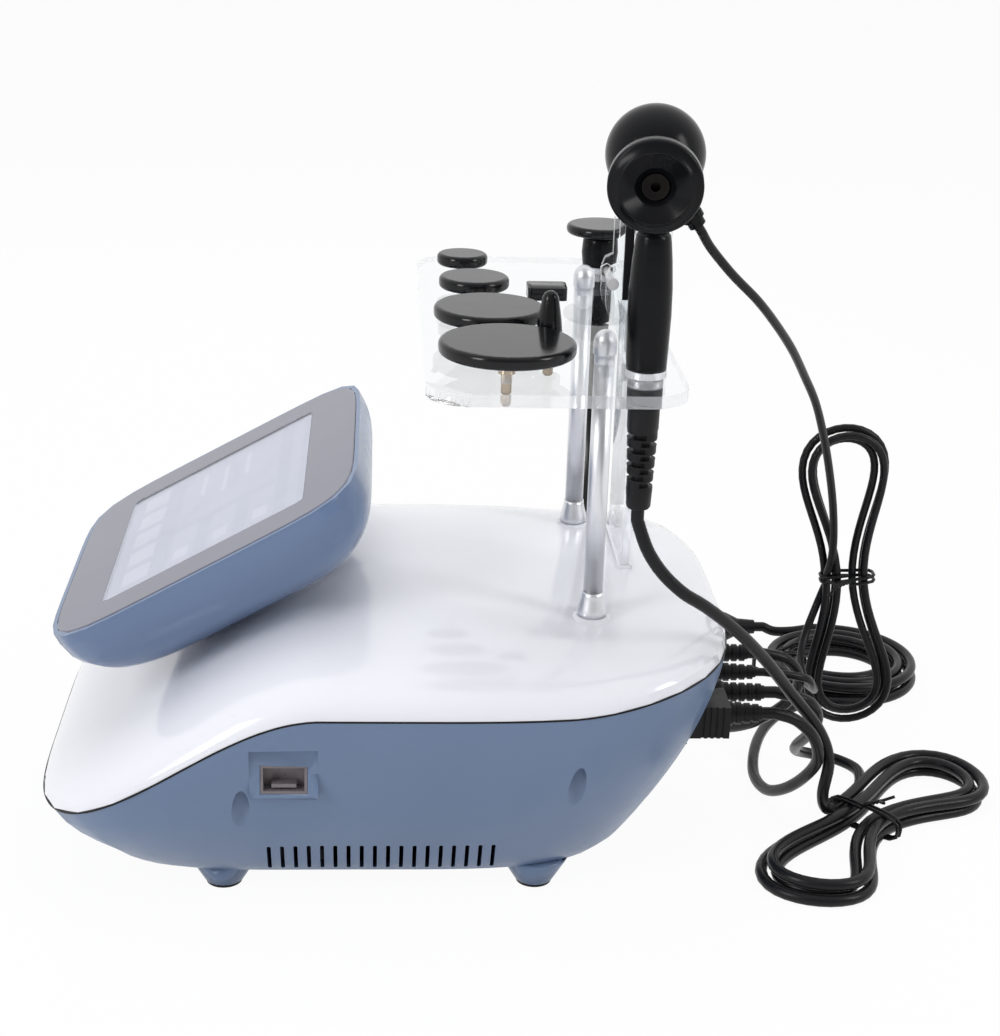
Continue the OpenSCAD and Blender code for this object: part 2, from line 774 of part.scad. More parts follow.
// Crowned cover with seats for the posts, the brace and the hinge, and screw anchors inside
module top_cover() {
    color(COVER_WHITE)
        union() {
            skin(concat(
                [for (i = [len(vault_levels) - 1:-1:0]) crown_ring(vault_levels[i], wall)],
                [for (i = [len(crown_levels) - 1:-1:0]) crown_ring(crown_levels[i], 0)]
            ));
            for (p = posts)
                boss(p, post_low(p) - wall - seat_rise, post_low(p), post_seat_r + 1, post_seat_r);
            hull()
                block([brace_x[0] - 2, brace_y - 4, brace_low - wall - seat_rise],
                    [brace_x[1] + 2, brace_y + 4, brace_low]);
            on_head()
                hull()
                    block(
                        [-seat_w / 2, hinge_v - seat_l / 2, seat_n - 5],
                        [seat_w / 2, hinge_v + seat_l / 2, seat_n]
                    );
            for (s = well_sets, m = [0, 1])
                mirror([m, 0, 0])
                    difference() {
                        boss(
                            [well_x(s) - anchor_skip, s[0]], seam_z(s[0]) - anchor_deep, anchor_top(s),
                            anchor_r, anchor_r
                        );
                        translate([well_x(s), s[0], 0])
                            cylinder(h = seam_z(s[0]) + tap_over, r = screw_r - fit_gap, $fn = boss_fn);
                    }
        }
}
function anchor_top(s) = cover_z(well_x(s) - anchor_skip + anchor_r, s[0]) - 1;

module foot_pads() {
    color(BLACK)
        for (p = foot_places)
            translate([p.x, p.y, 0]) cylinder(h = pad_t, r = foot_r - 1);
}

module case_screws() {
    color(STEEL)
        for (s = well_sets, m = [0, 1])
            mirror([m, 0, 0])
                translate([well_x(s), s[0], well_z(s)]) {
                    difference() {
                        translate([0, 0, -screw_head_h]) cylinder(h = screw_head_h, r = screw_head_r);
                        translate([0, 0, -screw_head_h]) cylinder(h = 3, r = 1.5, center = true, $fn = 6);
                    }
                    translate([0, 0, -fuse])
                        cylinder(h = s[1] + fuse, r = screw_r - 0.4);
                }
}

// Socket insert: an open box with a tongue near its lower edge
module service_socket() {
    w = port_w - 2 * fit_gap;
    h = port_h - 2 * fit_gap;
    color(BLACK)
        translate([port_x - port_d, port_y, port_z - port_drop]) {
            difference() {
                block([0, -w / 2, -h / 2], [port_d - 0.5, w / 2, h / 2]);
                block([1.5, 1.5 - w / 2, 1.5 - h / 2], [port_d, w / 2 - 1.5, h / 2 - 1.5]);
            }
            block([1, -tongue_w / 2, -h / 2 + 3], [port_d - 2, tongue_w / 2, -h / 2 + 3 + tongue_t]);
        }
}

// Power entry: inlet well with three blades, and the frame of the rocker above it
module mains_inlet() {
    color(BLACK)
        translate([mains_x, recess_y, 0]) {
            difference() {
                union() {
                    block([-inlet_w / 2, 0, mains_z - inlet_h / 2],
                        [inlet_w / 2, inlet_t, rocker_z + rocker_h / 2 + 3]);
                    block([-inlet_slot.x / 2 - 1.5, -inlet_deep, mains_z - inlet_slot.y / 2 - 1.5],
                        [inlet_slot.x / 2 + 1.5, fuse, mains_z + inlet_slot.y / 2 + 1.5]);
                    block([-rocker_w / 2 - 1.5, -rocker_deep, rocker_z - rocker_h / 2 - 1.5],
                        [rocker_w / 2 + 1.5, fuse, rocker_z + rocker_h / 2 + 1.5]);
                }
                block([-inlet_slot.x / 2, -inlet_deep + 2, mains_z - inlet_slot.y / 2],
                    [inlet_slot.x / 2, inlet_t + fuse, mains_z + inlet_slot.y / 2]);
                block([-rocker_w / 2, -rocker_deep + 2, rocker_z - rocker_h / 2],
                    [rocker_w / 2, inlet_t + fuse, rocker_z + rocker_h / 2]);
            }
            for (x = [-1, 0, 1])
                translate([x * 6, -inlet_deep + 1, mains_z + (x == 0 ? 1.5 : -1.5)])
                    block([-inlet_pin.x / 2, 0, -inlet_pin.z / 2],
                        [inlet_pin.x / 2, inlet_pin.y, inlet_pin.z / 2]);
            translate([0, 0, rocker_z])
                rotate([0, 90, 0])
                    cylinder(h = rocker_w + 2, r = rocker_pin_r, center = true);
        }
}

// Rocker that turns on the cross pin of its frame
module power_rocker() {
    w = rocker_w - 2 * body_gap;
    color(BLACK)
        translate([mains_x, recess_y, rocker_z])
            rotate([-rocker_lean, 0, 0])
                difference() {
                    rotate([90, 0, 90])
                        linear_extrude(height = w, center = true)
                            polygon([
                                [-5, -3], [1.5, -rocker_h / 2 + 0.9], [3.4, -rocker_h / 2 + 1.4], [2.6, 0],
                                [3.4, rocker_h / 2 - 1.4], [1.5, rocker_h / 2 - 0.9], [-5, 3]
                            ]);
                    rotate([0, 90, 0])
                        cylinder(h = w + 1, r = rocker_pin_r + run_gap, center = true);
                }
}

module output_sockets() {
    color(STEEL)
        for (x = socket_x)
            translate([x, recess_y, plug_z])
                rotate([-90, 0, 0])
                    difference() {
                        union() {
                            cylinder(h = socket_t, r = socket_r);
                            translate([0, 0, -socket_deep])
                                cylinder(h = socket_deep + fuse, r = plug_r - 1.3);
                        }
                        translate([0, 0, -socket_deep + 2]) cylinder(h = socket_deep + 5, r = plug_r - 2.5);
                    }
}

module power_supply() {
    s = supply_size;
    color(STEEL)
        translate([supply_low.x, supply_low.y, floor_z])
            difference() {
                cube(s);
                for (i = [0:9])
                    translate([10 + i * 5.5, 12, s.z - 2]) cube([2.5, s.y - 24, 4]);
                translate([s.x - 14, 8, 12]) cube([20, s.y - 16, 12]);
            }
}

module generator_board() {
    color(BOARD_GREEN)
        translate([board_low.x, board_low.y, floor_z + boss_h]) {
            cube(board_size);
            translate([board_size.x - 22, 10, board_size.z - 0.1]) cube([14, 26, 12]);
            translate([board_size.x - 20, 46, board_size.z - 0.1]) cylinder(h = 22, r = 9);
            translate([board_size.x - 22, board_size.y - 12, board_size.z - 0.1]) cylinder(h = 16, r = 5);
        }
}

module heat_sink() {
    s = sink_size;
    pitch = (s.x - 2) / (sink_fins - 1);
    color(STEEL)
        translate([sink_low.x, sink_low.y, floor_z + boss_h + board_size.z]) {
            cube([s.x, s.y, sink_base]);
            for (i = [0:sink_fins - 1])
                translate([i * pitch, 0, sink_base - fuse]) cube([2, s.y, s.z - sink_base + fuse]);
        }
}

// Square fan frame on the floor with a shaft for the rotor
module fan_frame() {
    color(BLACK)
        translate([fan_x, 0, fan_z])
            rotate([0, 90, 0]) {
                difference() {
                    translate([-fan_size / 2, -fan_size / 2, 0]) cube([fan_size, fan_size, fan_t]);
                    translate([0, 0, -1]) cylinder(h = fan_t + 2, r = fan_bore_r);
                }
                for (a = [0, 120, 240])
                    rotate([0, 0, a])
                        translate([fan_hub_r - 2, -2, 0.5])
                            cube([fan_bore_r - fan_hub_r + 3, 4, fan_back - 1]);
                cylinder(h = fan_back, r = fan_hub_r);
                translate([0, 0, 1]) cylinder(h = fan_t - 3, r = fan_shaft_r);
            }
}

module fan_rotor() {
    color(BLACK)
        translate([fan_x + fan_back + fan_gap, 0, fan_z])
            rotate([0, 90, 0])
                difference() {
                    union() {
                        cylinder(h = fan_t - fan_back - fan_gap - 1, r = fan_hub_r);
                        for (i = [0:6])
                            rotate([0, 0, i * 360 / 7])
                                translate([fan_hub_r - 1, 0, (fan_t - fan_back - fan_gap - 1) / 2])
                                    rotate([38, 0, 0])
                                        translate([0, -6, -0.7]) cube([fan_tip_r - fan_hub_r, 12, 1.4]);
                    }
                    translate([0, 0, -1]) cylinder(h = fan_t, r = fan_shaft_r + run_gap);
                }
}

// Two ears on a plate, bolted to the seat of the cover
module hinge_bracket() {
    color(STEEL)
        on_head()
            difference() {
                union() {
                    block([-seat_w / 2 + 2, hinge_v - seat_l / 2 + 1, seat_n],
                        [seat_w / 2 - 2, hinge_v + seat_l / 2 - 1, seat_n + bracket_t]);
                    for (m = [0, 1])
                        mirror([m, 0, 0]) {
                            block(
                                [ear_in, hinge_v - ear_r, seat_n],
                                [ear_in + ear_t, hinge_v + ear_r, hinge_n]
                            );
                            translate([ear_in, hinge_v, hinge_n])
                                rotate([0, 90, 0]) cylinder(h = ear_t, r = ear_r);
                        }
                }
                translate([0, hinge_v, hinge_n])
                    rotate([0, 90, 0]) cylinder(h = 2 * pin_half, r = hinge_r + run_gap, center = true);
            }
}

module hinge_pin() {
    color(STEEL)
        on_head()
            translate([0, hinge_v, hinge_n])
                rotate([0, 90, 0]) cylinder(h = 2 * pin_half, r = hinge_r, center = true);
}

// Lugs of the head on the same pin, joined by a frame round the opening
module hinge_knuckle() {
    color(STEEL)
        on_head()
            difference() {
                union() {
                    for (m = [0, 1])
                        mirror([m, 0, 0]) {
                            block(
                                [lug_in, hinge_v - ear_r, head_floor],
                                [lug_in + lug_t, hinge_v + ear_r, hinge_n]
                            );
                            translate([lug_in, hinge_v, hinge_n])
                                rotate([0, 90, 0]) cylinder(h = lug_t, r = ear_r);
                        }
                    block([-lug_in - lug_t, hinge_v + door_l / 2 + 1, head_floor],
                        [lug_in + lug_t, hinge_v + door_l / 2 + 7, head_floor + 3]);
                    for (m = [0, 1])
                        mirror([m, 0, 0])
                            block(
                                [lug_in, hinge_v, head_floor],
                                [lug_in + lug_t, hinge_v + door_l / 2 + 7, head_floor + 3]
                            );
                }
                translate([0, hinge_v, hinge_n])
                    rotate([0, 90, 0]) cylinder(h = 2 * pin_half + 2, r = hinge_r + run_gap, center = true);
            }
}

// Swollen back of the head: rim, ledge for the glass, opening for the hinge and cooling slots
module head_shell() {
    color(SHELL_BLUE)
        on_head()
            difference() {
                skin(concat(
                    [for (s = head_levels) head_ring(s, 0, head_depth(s, 0))],
                    [
                        head_ring(1, 0, head_rim), head_ring(1, glass_inset - 0.4, head_rim),
                        head_ring(1, glass_inset - 0.4, 0), head_ring(1, glass_inset + ledge, 0),
                        head_ring(1, glass_inset + ledge, -head_edge)
                    ],
                    [
                        for (s = head_cavity_levels)
                        head_ring(s, head_wall + (s == 1 ? ledge : 0), head_depth(s, head_wall))
                    ]
                ));
                block(
                    [-door_w / 2, hinge_v - door_l / 2, -head_d - 1],
                    [door_w / 2, hinge_v + door_l / 2, -head_d + 2 * head_wall + 1]
                );
                for (i = [0:slot_count - 1])
                    translate([(i - (slot_count - 1) / 2) * slot_pitch, slot_v, -head_d])
                        rotate([0, 90, 90]) slot_x(slot_w, slot_h, slot_deep);
            }
}

module display_glass() {
    color(BEZEL_GREY)
        on_head()
            skin([
                head_ring(1, glass_inset, 0), head_ring(1, glass_inset, glass_t - 0.6),
                head_ring(1, glass_inset + 0.6, glass_t)
            ]);
}

module lcd_panel() {
    color(SCREEN)
        on_head()
            block([-screen_w / 2 - 4, -screen_h / 2 - 4, -panel_t], [screen_w / 2 + 4, screen_h / 2 + 4, 0]);
}

module display_board() {
    color(BOARD_GREEN)
        on_head() {
            block([-driver_size.x / 2, driver_v - driver_size.y / 2, -panel_t - driver_size.z],
                [driver_size.x / 2, driver_v + driver_size.y / 2, -panel_t]);
            for (c = driver_chips)
                translate([c[0], c[1], -panel_t - driver_size.z - c[4]]) cube([c[2], c[3], c[4] + fuse]);
        }
}

module post_tubes() {
    color(STEEL)
        for (p = posts)
            translate([p.x, p.y, post_low(p) + post_foot_h])
                cylinder(h = tray_low - post_low(p) - post_foot_h, r = post_r);
}

// Conical feet below the posts and domed caps above the tray
module post_fittings() {
    color(STEEL)
        for (p = posts)
            translate([p.x, p.y, 0]) {
                translate([0, 0, post_low(p)])
                    turned([
                        [0, 0], [post_foot_r, 0], [post_foot_r, 3], [post_r + 0.6, post_foot_h - 2],
                        [post_r + 0.6, post_foot_h], [0, post_foot_h]
                    ]);
                translate([0, 0, tray_z])
                    turned([
                        [0, 0], [cap_r, 0], [cap_r, cap_h * 0.4], [cap_r - cap_groove, cap_h * 0.45],
                        [cap_r - cap_groove, cap_h * 0.55], [cap_r, cap_h * 0.6], [cap_r - 0.4, cap_h * 0.8],
                        [cap_r - 1.8, cap_h * 0.95], [cap_r - 3.4, cap_h], [0, cap_h]
                    ]);
            }
}

// Clear tray with holes for the pins and the corded sticks
module tray() {
    color(CLEAR)
        translate([0, tray_y, tray_low])
            difference() {
                rounded_plate(tray_w, tray_l, tray_r, tray_t);
                for (p = [disc_70_at, disc_60_at, disc_40_at, disc_30_at, bar_at, cone_at])
                    translate([p.x, p.y - tray_y, -1]) cylinder(h = tray_t + 2, r = pin_r + body_gap);
                for (p = [near_place, far_place])
                    translate([p.x, p.y - tray_y, -1]) cylinder(h = tray_t + 2, r = hole_r);
            }
}

module rear_brace() {
    color(CLEAR)
        block([brace_x[0], brace_y - plate_t / 2, brace_low], [brace_x[1], brace_y + plate_t / 2, tray_low]);
}

// Two upright plates with a hollow top, and the spacer between them
module palm_cradle() {
    color(CLEAR) {
        for (x = cradle_x)
            difference() {
                translate([x, 0, 0])
                    rotate([90, 0, 90]) linear_extrude(height = plate_t) polygon(cradle_outline);
                translate([x - 1, ball_place.y, ball_place.z])
                    rotate([0, 90, 0]) cylinder(h = plate_t + 2, r = cradle_reach, $fn = 64);
                translate([x - 1, cradle_screw.x, cradle_screw.y])
                    rotate([0, 90, 0]) cylinder(h = plate_t + 2, r = screw_r + fit_gap);
            }
        block([cradle_x[0] + plate_t, spacer_y[0], tray_z], [cradle_x[1], spacer_y[1], spacer_z]);
    }
}

module cradle_screws() {
    reach = cradle_x[1] - cradle_x[0] + plate_t;
    color(STEEL)
        translate([cradle_x[0], cradle_screw.x, cradle_screw.y])
            rotate([0, 90, 0]) {
                translate([0, 0, -2.5]) cylinder(h = 2.5, r = screw_head_r, $fn = 6);
                translate([0, 0, -1]) cylinder(h = reach + 2, r = screw_r);
                translate([0, 0, reach]) cylinder(h = 2, r = screw_head_r - 0.6);
            }
}

module cradle_pad() {
    color(BLACK)
        block([cradle_x[1] + plate_t, pad_strip[0].x, pad_strip[0].y],
            [cradle_x[1] + plate_t + pad_strip_t, pad_strip[1].x, pad_strip[1].y]);
}

// Round electrode with softened edges and a blind socket for its pin
module disc_at(place, d) {
    color(BLACK)
        translate([place.x, place.y, disc_low])
            turned(concat(
                [[pin_r + run_gap, 0]], round_rim(d / 2, disc_t, rim_r),
                [[0, disc_t], [0, pin_socket], [pin_r + run_gap, pin_socket]]
            ));
}

// Turned pin with a collar that rests just above the tray
module pin_at(place) {
    color(BRASS)
        translate([place.x, place.y, 0])
            turned([
                [0, tray_low - pin_drop], [pin_r - 0.8, tray_low - pin_drop],
                [pin_r, tray_low - pin_drop + 1], [pin_r, seat_z],
                [pin_collar_r, seat_z], [pin_collar_r, seat_z + collar_t],
                [pin_r, seat_z + collar_t], [pin_r, disc_low + pin_socket], [0, disc_low + pin_socket]
            ]);
}

module disc_70() { disc_at(disc_70_at, disc_ds[0]); }
module disc_60() { disc_at(disc_60_at, disc_ds[1]); }
module disc_40() { disc_at(disc_40_at, disc_ds[2]); }
module disc_30() { disc_at(disc_30_at, disc_ds[3]); }
module disc_70_pin() { pin_at(disc_70_at); }
module disc_60_pin() { pin_at(disc_60_at); }
module disc_40_pin() { pin_at(disc_40_at); }
module disc_30_pin() { pin_at(disc_30_at); }
module bar_pin() { pin_at(bar_at); }
module cone_pin() { pin_at(cone_at); }

module bar_electrode() {
    color(BLACK)
        translate([bar_at.x, bar_at.y, disc_low])
            difference() {
                rounded_plate(bar_size.x, bar_size.y, 2.5, bar_size.z);
                translate([0, 0, -1]) cylinder(h = pin_socket + 1, r = pin_r + run_gap);
            }
}

module cone_electrode() {
    color(BLACK)
        translate([cone_at.x, cone_at.y, disc_low])
            turned([
                [pin_r + run_gap, 0], [cone_r - 0.8, 0], [cone_r, 0.8], [cone_r, 3],
                [cone_r * 0.92, cone_h * 0.35], [cone_r * 0.74, cone_h * 0.68],
                [cone_r * 0.62, cone_h * 0.86], [cone_r * 0.47, cone_h * 0.94],
                [cone_r * 0.25, cone_h * 0.985], [0, cone_h],
                [0, pin_socket], [pin_r + run_gap, pin_socket]
            ]);
}

// Grip of the long stick, widest at the middle, with a blunt nose
module near_grip() {
    r = grip_r;
    low = seat_z + ring_h;
    color(BLACK)
        translate([near_place.x, near_place.y, low])
            turned([
                [0, 0], [r - 0.9, 0], [r - 0.5, grip_l * 0.15], [r, grip_l * 0.4], [r - 0.2, grip_l * 0.6],
                [r - 1.1, grip_l * 0.8], [r - 2, grip_l * 0.93], [r - 2.6, grip_l * 0.98],
                [r - 3.8, grip_l], [0, grip_l]
            ]);
}

module stick_ring(place) {
    color(STEEL)
        translate([place.x, place.y, seat_z])
            turned([
                [0, 0], [ring_r - 0.4, 0], [ring_r, 0.5], [ring_r, ring_h - 0.5], [ring_r - 0.4, ring_h],
                [0, ring_h]
            ]);
}

// Collar, sleeve and ribbed relief below the ring
module stick_boot(place) {
    rib_count = 7;
    rib_top = tray_low - sleeve_l - 2;
    rib_pitch = (rib_top - boot_end_z) / rib_count;
    color(BLACK)
        translate([place.x, place.y, 0])
            turned(concat(
                [
                    [0, seat_z], [collar_r, seat_z], [collar_r, tray_low - collar_drop],
                    [sleeve_r, tray_low - collar_drop], [sleeve_r, tray_low - sleeve_l],
                    [sleeve_r - 1, tray_low - sleeve_l], [sleeve_r - 1, rib_top]
                ],
                ribs(sleeve_r - 0.4, stick_d / 2 + 1.4, rib_top, rib_pitch, rib_count),
                [[0, boot_end_z]]
            ));
}

module near_ring() { stick_ring(near_place); }
module near_boot() { stick_boot(near_place); }
module far_ring() { stick_ring(far_place); }
module far_boot() { stick_boot(far_place); }

module far_grip() {
    color(BLACK)
        translate([far_place.x, far_place.y, seat_z + ring_h])
            turned([
                [0, 0], [grip_r - 0.9, 0], [grip_r, far_grip_l * 0.4], [grip_r - 0.6, far_grip_l * 0.8],
                [grip_r - 2, far_grip_l], [0, far_grip_l]
            ]);
}

module far_disc() {
    r = far_disc_r;
    color(BLACK)
        translate([far_place.x, far_place.y, seat_z + ring_h + far_grip_l])
            turned(concat([[0, 0]], round_rim(r, far_disc_t, rim_r), [[0, far_disc_t]]));
}

// Ball, neck and cord boot of the palm handpiece in one moulding
module palm_ball() {
    way = palm_boot[1] - palm_boot[0];
    reach = norm(way);
    color(BLACK) {
        on_palm()
            translate([0, 0, -face_reach]) {
                sphere(r = ball_r);
                translate([0, 0, 10]) cylinder(h = face_reach - 10 - flange_t, r = neck_r);
            }
        translate(palm_boot[0])
            rotate([0, acos(way.z / reach), atan2(way.y, way.x)])
                translate([0, 0, -8])
                    turned([
                        [0, 0], [7, 0], [7, 12], [6, 12], [6, 14], [6.5, 14], [6.5, 17], [5.4, 17], [5.4, 19],
                        [5.9, 19], [5.9, 22], [4.6, 22], [4.6, reach + 8], [0, reach + 8]
                    ]);
    }
}

module palm_flange() {
    color(BLACK)
        on_palm()
            difference() {
                union() {
                    translate([0, 0, -flange_t])
                        turned([[0, 0], [flange_r - 1, 0], [flange_r, 1], [flange_r, flange_t - 1],
                            [flange_r - 1, flange_t], [0, flange_t]]);
                    translate([0, 0, -0.1])
                        turned([[face_ring[0], 0], [face_ring[1], 0], [face_ring[1] - 0.2, face_ring[2]],
                            [face_ring[0] + 0.2, face_ring[2]]]);
                }
                translate([0, 0, -socket_hole_d]) cylinder(h = socket_hole_d + 3, r = socket_hole_r);
                translate([0, 0, -flange_t - 1]) cylinder(h = flange_t, r = thread_r + 2.5);
            }
}

// Threaded brass insert in the flange
module palm_socket() {
    color(BRASS)
        on_palm()
            difference() {
                union() {
                    translate([0, 0, -flange_t]) cylinder(h = flange_t - socket_hole_d, r = thread_r + 2.5);
                    translate([0, 0, -socket_hole_d]) cylinder(h = 1, r = thread_r + 4);
                }
                translate([0, 0, -flange_t + 1]) cylinder(h = thread_l, r = thread_r);
            }
}

// Ribbed plugs in the three sockets
module handpiece_plugs() {
    ds = [stick_d, palm_d, stick_d];
    color(BLACK)
        for (i = [0:2])
            translate([socket_x[i], plug_start, plug_z])
                rotate([90, 0, 0])
                    turned(concat(
                        [
                            [0, 0], [plug_r, 0], [plug_r, -4], [plug_r - 0.7, -4.6], [plug_r - 0.7, -7],
                            [plug_r, -7.6], [plug_r, -plug_body_l + 2], [plug_r - 1.4, -plug_body_l]
                        ],
                        ribs(plug_r - 1.6, ds[i] / 2 + 1.4, -plug_body_l, relief_l / 5, 5),
                        [[0, -plug_body_l - relief_l]]
                    ));
}

module mains_connector() {
    b = mains_body;
    color(BLACK)
        translate([mains_x, mains_start, mains_z]) {
            difference() {
                block([-b.x / 2, 0, -b.z / 2], [b.x / 2, b.y, b.z / 2]);
                for (m = [0, 1], i = [0:3])
                    mirror([m, 0, 0]) translate([b.x / 2 - 1, 8 + i * 3.6, -b.z]) cube([2, 1.6, 2 * b.z]);
            }
            rotate([90, 0, 0])
                turned(concat([[0, -b.y + 1], [7.4, -b.y + 1], [7.4, -b.y]],
                    ribs(7, mains_d / 2 + 1.2, -b.y, mains_relief_l / 4, 4), [[0, -b.y - mains_relief_l]]));
        }
}

// Two-pin earthed plug lying on the table
module mains_plug() {
    color(BLACK)
        translate(plug_place)
            rotate([90, 0, 0]) {
                turned([
                    [0, 0], [mains_d / 2 + 1.5, 0], [mains_d / 2 + 2.5, 12], [plug_place.z - 2, 20],
                    [plug_place.z - 0.2, 26], [plug_place.z - 0.2, 38], [0, 38]
                ]);
                for (x = [-9.5, 9.5])
                    translate([x, 0, 37]) cylinder(h = 20, r = 2.4);
            }
}

module near_cord() {
    color(BLACK) {
        tube(near_free, stick_d, cord_sides);
        tube(near_lead, stick_d, cord_sides);
    }
}
module palm_cord() {
    color(BLACK) {
        tube(palm_free, palm_d, cord_sides);
        tube(palm_lead, palm_d, cord_sides);
    }
}
module far_cord() {
    color(BLACK) {
        tube(far_free, stick_d, cord_sides);
        tube(far_lead, stick_d, cord_sides);
    }
}
module mains_cord() {
    color(BLACK) {
        tube(mains_lead, mains_d, cord_sides);
        tube(mains_tail, mains_d, cord_sides);
    }
}
module near_hank() { color(BLACK) tube(near_loops, stick_d, hank_sides); }
module palm_hank() { color(BLACK) tube(palm_loops, palm_d, hank_sides); }
module far_hank() { color(BLACK) tube(far_loops, stick_d, hank_sides); }
module mains_coil() { color(BLACK) tube(coil_turns, mains_d, hank_sides); }

base_shell();
top_cover();
foot_pads();
case_screws();
service_socket();
mains_inlet();
output_sockets();
power_supply();
generator_board();
heat_sink();
fan_frame();
fan_rotor();
power_rocker();
hinge_bracket();
hinge_pin();
hinge_knuckle();
head_shell();
display_glass();
lcd_panel();
display_board();
post_tubes();
post_fittings();
tray();
rear_brace();
palm_cradle();
cradle_screws();
cradle_pad();
disc_70();
disc_60();
disc_40();
disc_30();
bar_electrode();
cone_electrode();
disc_70_pin();
disc_60_pin();
disc_40_pin();
disc_30_pin();
bar_pin();
cone_pin();
near_grip();
near_ring();
near_boot();
far_grip();
far_ring();
far_boot();
far_disc();
palm_ball();
palm_flange();
palm_socket();
handpiece_plugs();
mains_connector();
mains_plug();
near_cord();
near_hank();
palm_cord();
palm_hank();
far_cord();
far_hank();
mains_cord();
mains_coil();
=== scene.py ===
"""Looks of the desk-top therapy unit: finishes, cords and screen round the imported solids."""

import json
import math

import bmesh
import bpy
from mathutils import Matrix, Vector
from mathutils.bvhtree import BVHTree
from mathutils.interpolate import poly_3d_calc

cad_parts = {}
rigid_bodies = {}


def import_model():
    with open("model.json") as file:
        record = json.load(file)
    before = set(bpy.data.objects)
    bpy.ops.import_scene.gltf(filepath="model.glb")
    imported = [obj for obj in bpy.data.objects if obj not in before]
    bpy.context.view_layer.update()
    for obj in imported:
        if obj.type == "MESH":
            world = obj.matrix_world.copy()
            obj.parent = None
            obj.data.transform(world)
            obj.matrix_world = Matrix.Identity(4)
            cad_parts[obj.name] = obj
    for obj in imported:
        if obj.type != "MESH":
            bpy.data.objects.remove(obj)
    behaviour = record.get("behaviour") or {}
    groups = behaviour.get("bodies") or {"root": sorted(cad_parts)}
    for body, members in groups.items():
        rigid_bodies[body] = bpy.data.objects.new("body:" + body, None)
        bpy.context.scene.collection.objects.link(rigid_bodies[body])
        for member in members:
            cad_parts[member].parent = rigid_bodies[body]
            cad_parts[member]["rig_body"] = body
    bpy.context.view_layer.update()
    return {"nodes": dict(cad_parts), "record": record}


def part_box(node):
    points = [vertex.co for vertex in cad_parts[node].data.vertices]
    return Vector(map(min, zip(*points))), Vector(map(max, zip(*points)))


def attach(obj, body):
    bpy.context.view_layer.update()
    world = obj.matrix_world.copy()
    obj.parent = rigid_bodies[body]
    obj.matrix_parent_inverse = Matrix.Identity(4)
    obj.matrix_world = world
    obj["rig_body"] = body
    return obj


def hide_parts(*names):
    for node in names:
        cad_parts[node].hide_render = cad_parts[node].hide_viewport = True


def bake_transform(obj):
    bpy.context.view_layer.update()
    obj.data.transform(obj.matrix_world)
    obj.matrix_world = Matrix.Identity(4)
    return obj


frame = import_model()
nodes = frame["nodes"]
scene = bpy.context.scene
scene.view_settings.view_transform = "Standard"

# Places and sizes of the part are in millimetres, as in the solids, and times MM in metres.
MM = 0.001


# Helpers for shader trees

def math_node(tree, kind, a, b=None, clamp=False):
    node = tree.nodes.new("ShaderNodeMath")
    node.operation = kind
    node.use_clamp = clamp
    for i, value in enumerate((a, b)):
        if value is None:
            continue
        if isinstance(value, (int, float)):
            node.inputs[i].default_value = value
        else:
            tree.links.new(value, node.inputs[i])
    return node.outputs[0]


def ramp(tree, value, low, high, to_low=0.0, to_high=1.0):
    node = tree.nodes.new("ShaderNodeMapRange")
    node.inputs["From Min"].default_value = low
    node.inputs["From Max"].default_value = high
    node.inputs["To Min"].default_value = to_low
    node.inputs["To Max"].default_value = to_high
    tree.links.new(value, node.inputs["Value"])
    return node.outputs["Result"]


def noise(tree, coords, scale, detail=3.0, rough=0.5, stretch=None):
    if stretch is not None:
        mapping = tree.nodes.new("ShaderNodeMapping")
        mapping.inputs["Scale"].default_value = stretch
        tree.links.new(coords, mapping.inputs["Vector"])
        coords = mapping.outputs["Vector"]
    node = tree.nodes.new("ShaderNodeTexNoise")
    node.inputs["Detail"].default_value = detail
    node.inputs["Roughness"].default_value = rough
    tree.links.new(coords, node.inputs["Vector"])
    if isinstance(scale, (int, float)):
        node.inputs["Scale"].default_value = scale
    else:
        tree.links.new(scale, node.inputs["Scale"])
    return node.outputs["Fac"]


def object_coords(tree):
    return tree.nodes.new("ShaderNodeTexCoord").outputs["Object"]


def mix_colour(tree, share, one, two):
    node = tree.nodes.new("ShaderNodeMix")
    node.data_type = "RGBA"
    for label, value in (("A", one), ("B", two)):
        socket = next(s for s in node.inputs if s.name == label and s.type == "RGBA")
        if isinstance(value, tuple):
            socket.default_value = (*value, 1)
        else:
            tree.links.new(value, socket)
    tree.links.new(share, node.inputs[0])
    return next(s for s in node.outputs if s.type == "RGBA")


def mix_shaders(tree, share, one, two, out_kind):
    """Ends a tree with two shaders in one."""
    mix = tree.nodes.new("ShaderNodeMixShader")
    out = tree.nodes.new(out_kind)
    tree.links.new(share, mix.inputs[0])
    tree.links.new(one.outputs[0], mix.inputs[1])
    tree.links.new(two.outputs[0], mix.inputs[2])
    tree.links.new(mix.outputs[0], out.inputs[0])


# Camera, floor and light

# Where the camera stands: turn, rise and roll in degrees, the point it looks at and its distance in metres
CAMERA_ANGLES = (86.16, 20.14, 1.89)
CAMERA_AIM = (0, 0.06422, 0.18262)
CAMERA_DISTANCE = 1.15628
FOCAL_PIXELS, PICTURE_PIXELS, SENSOR = 1993.17, 1036, 36


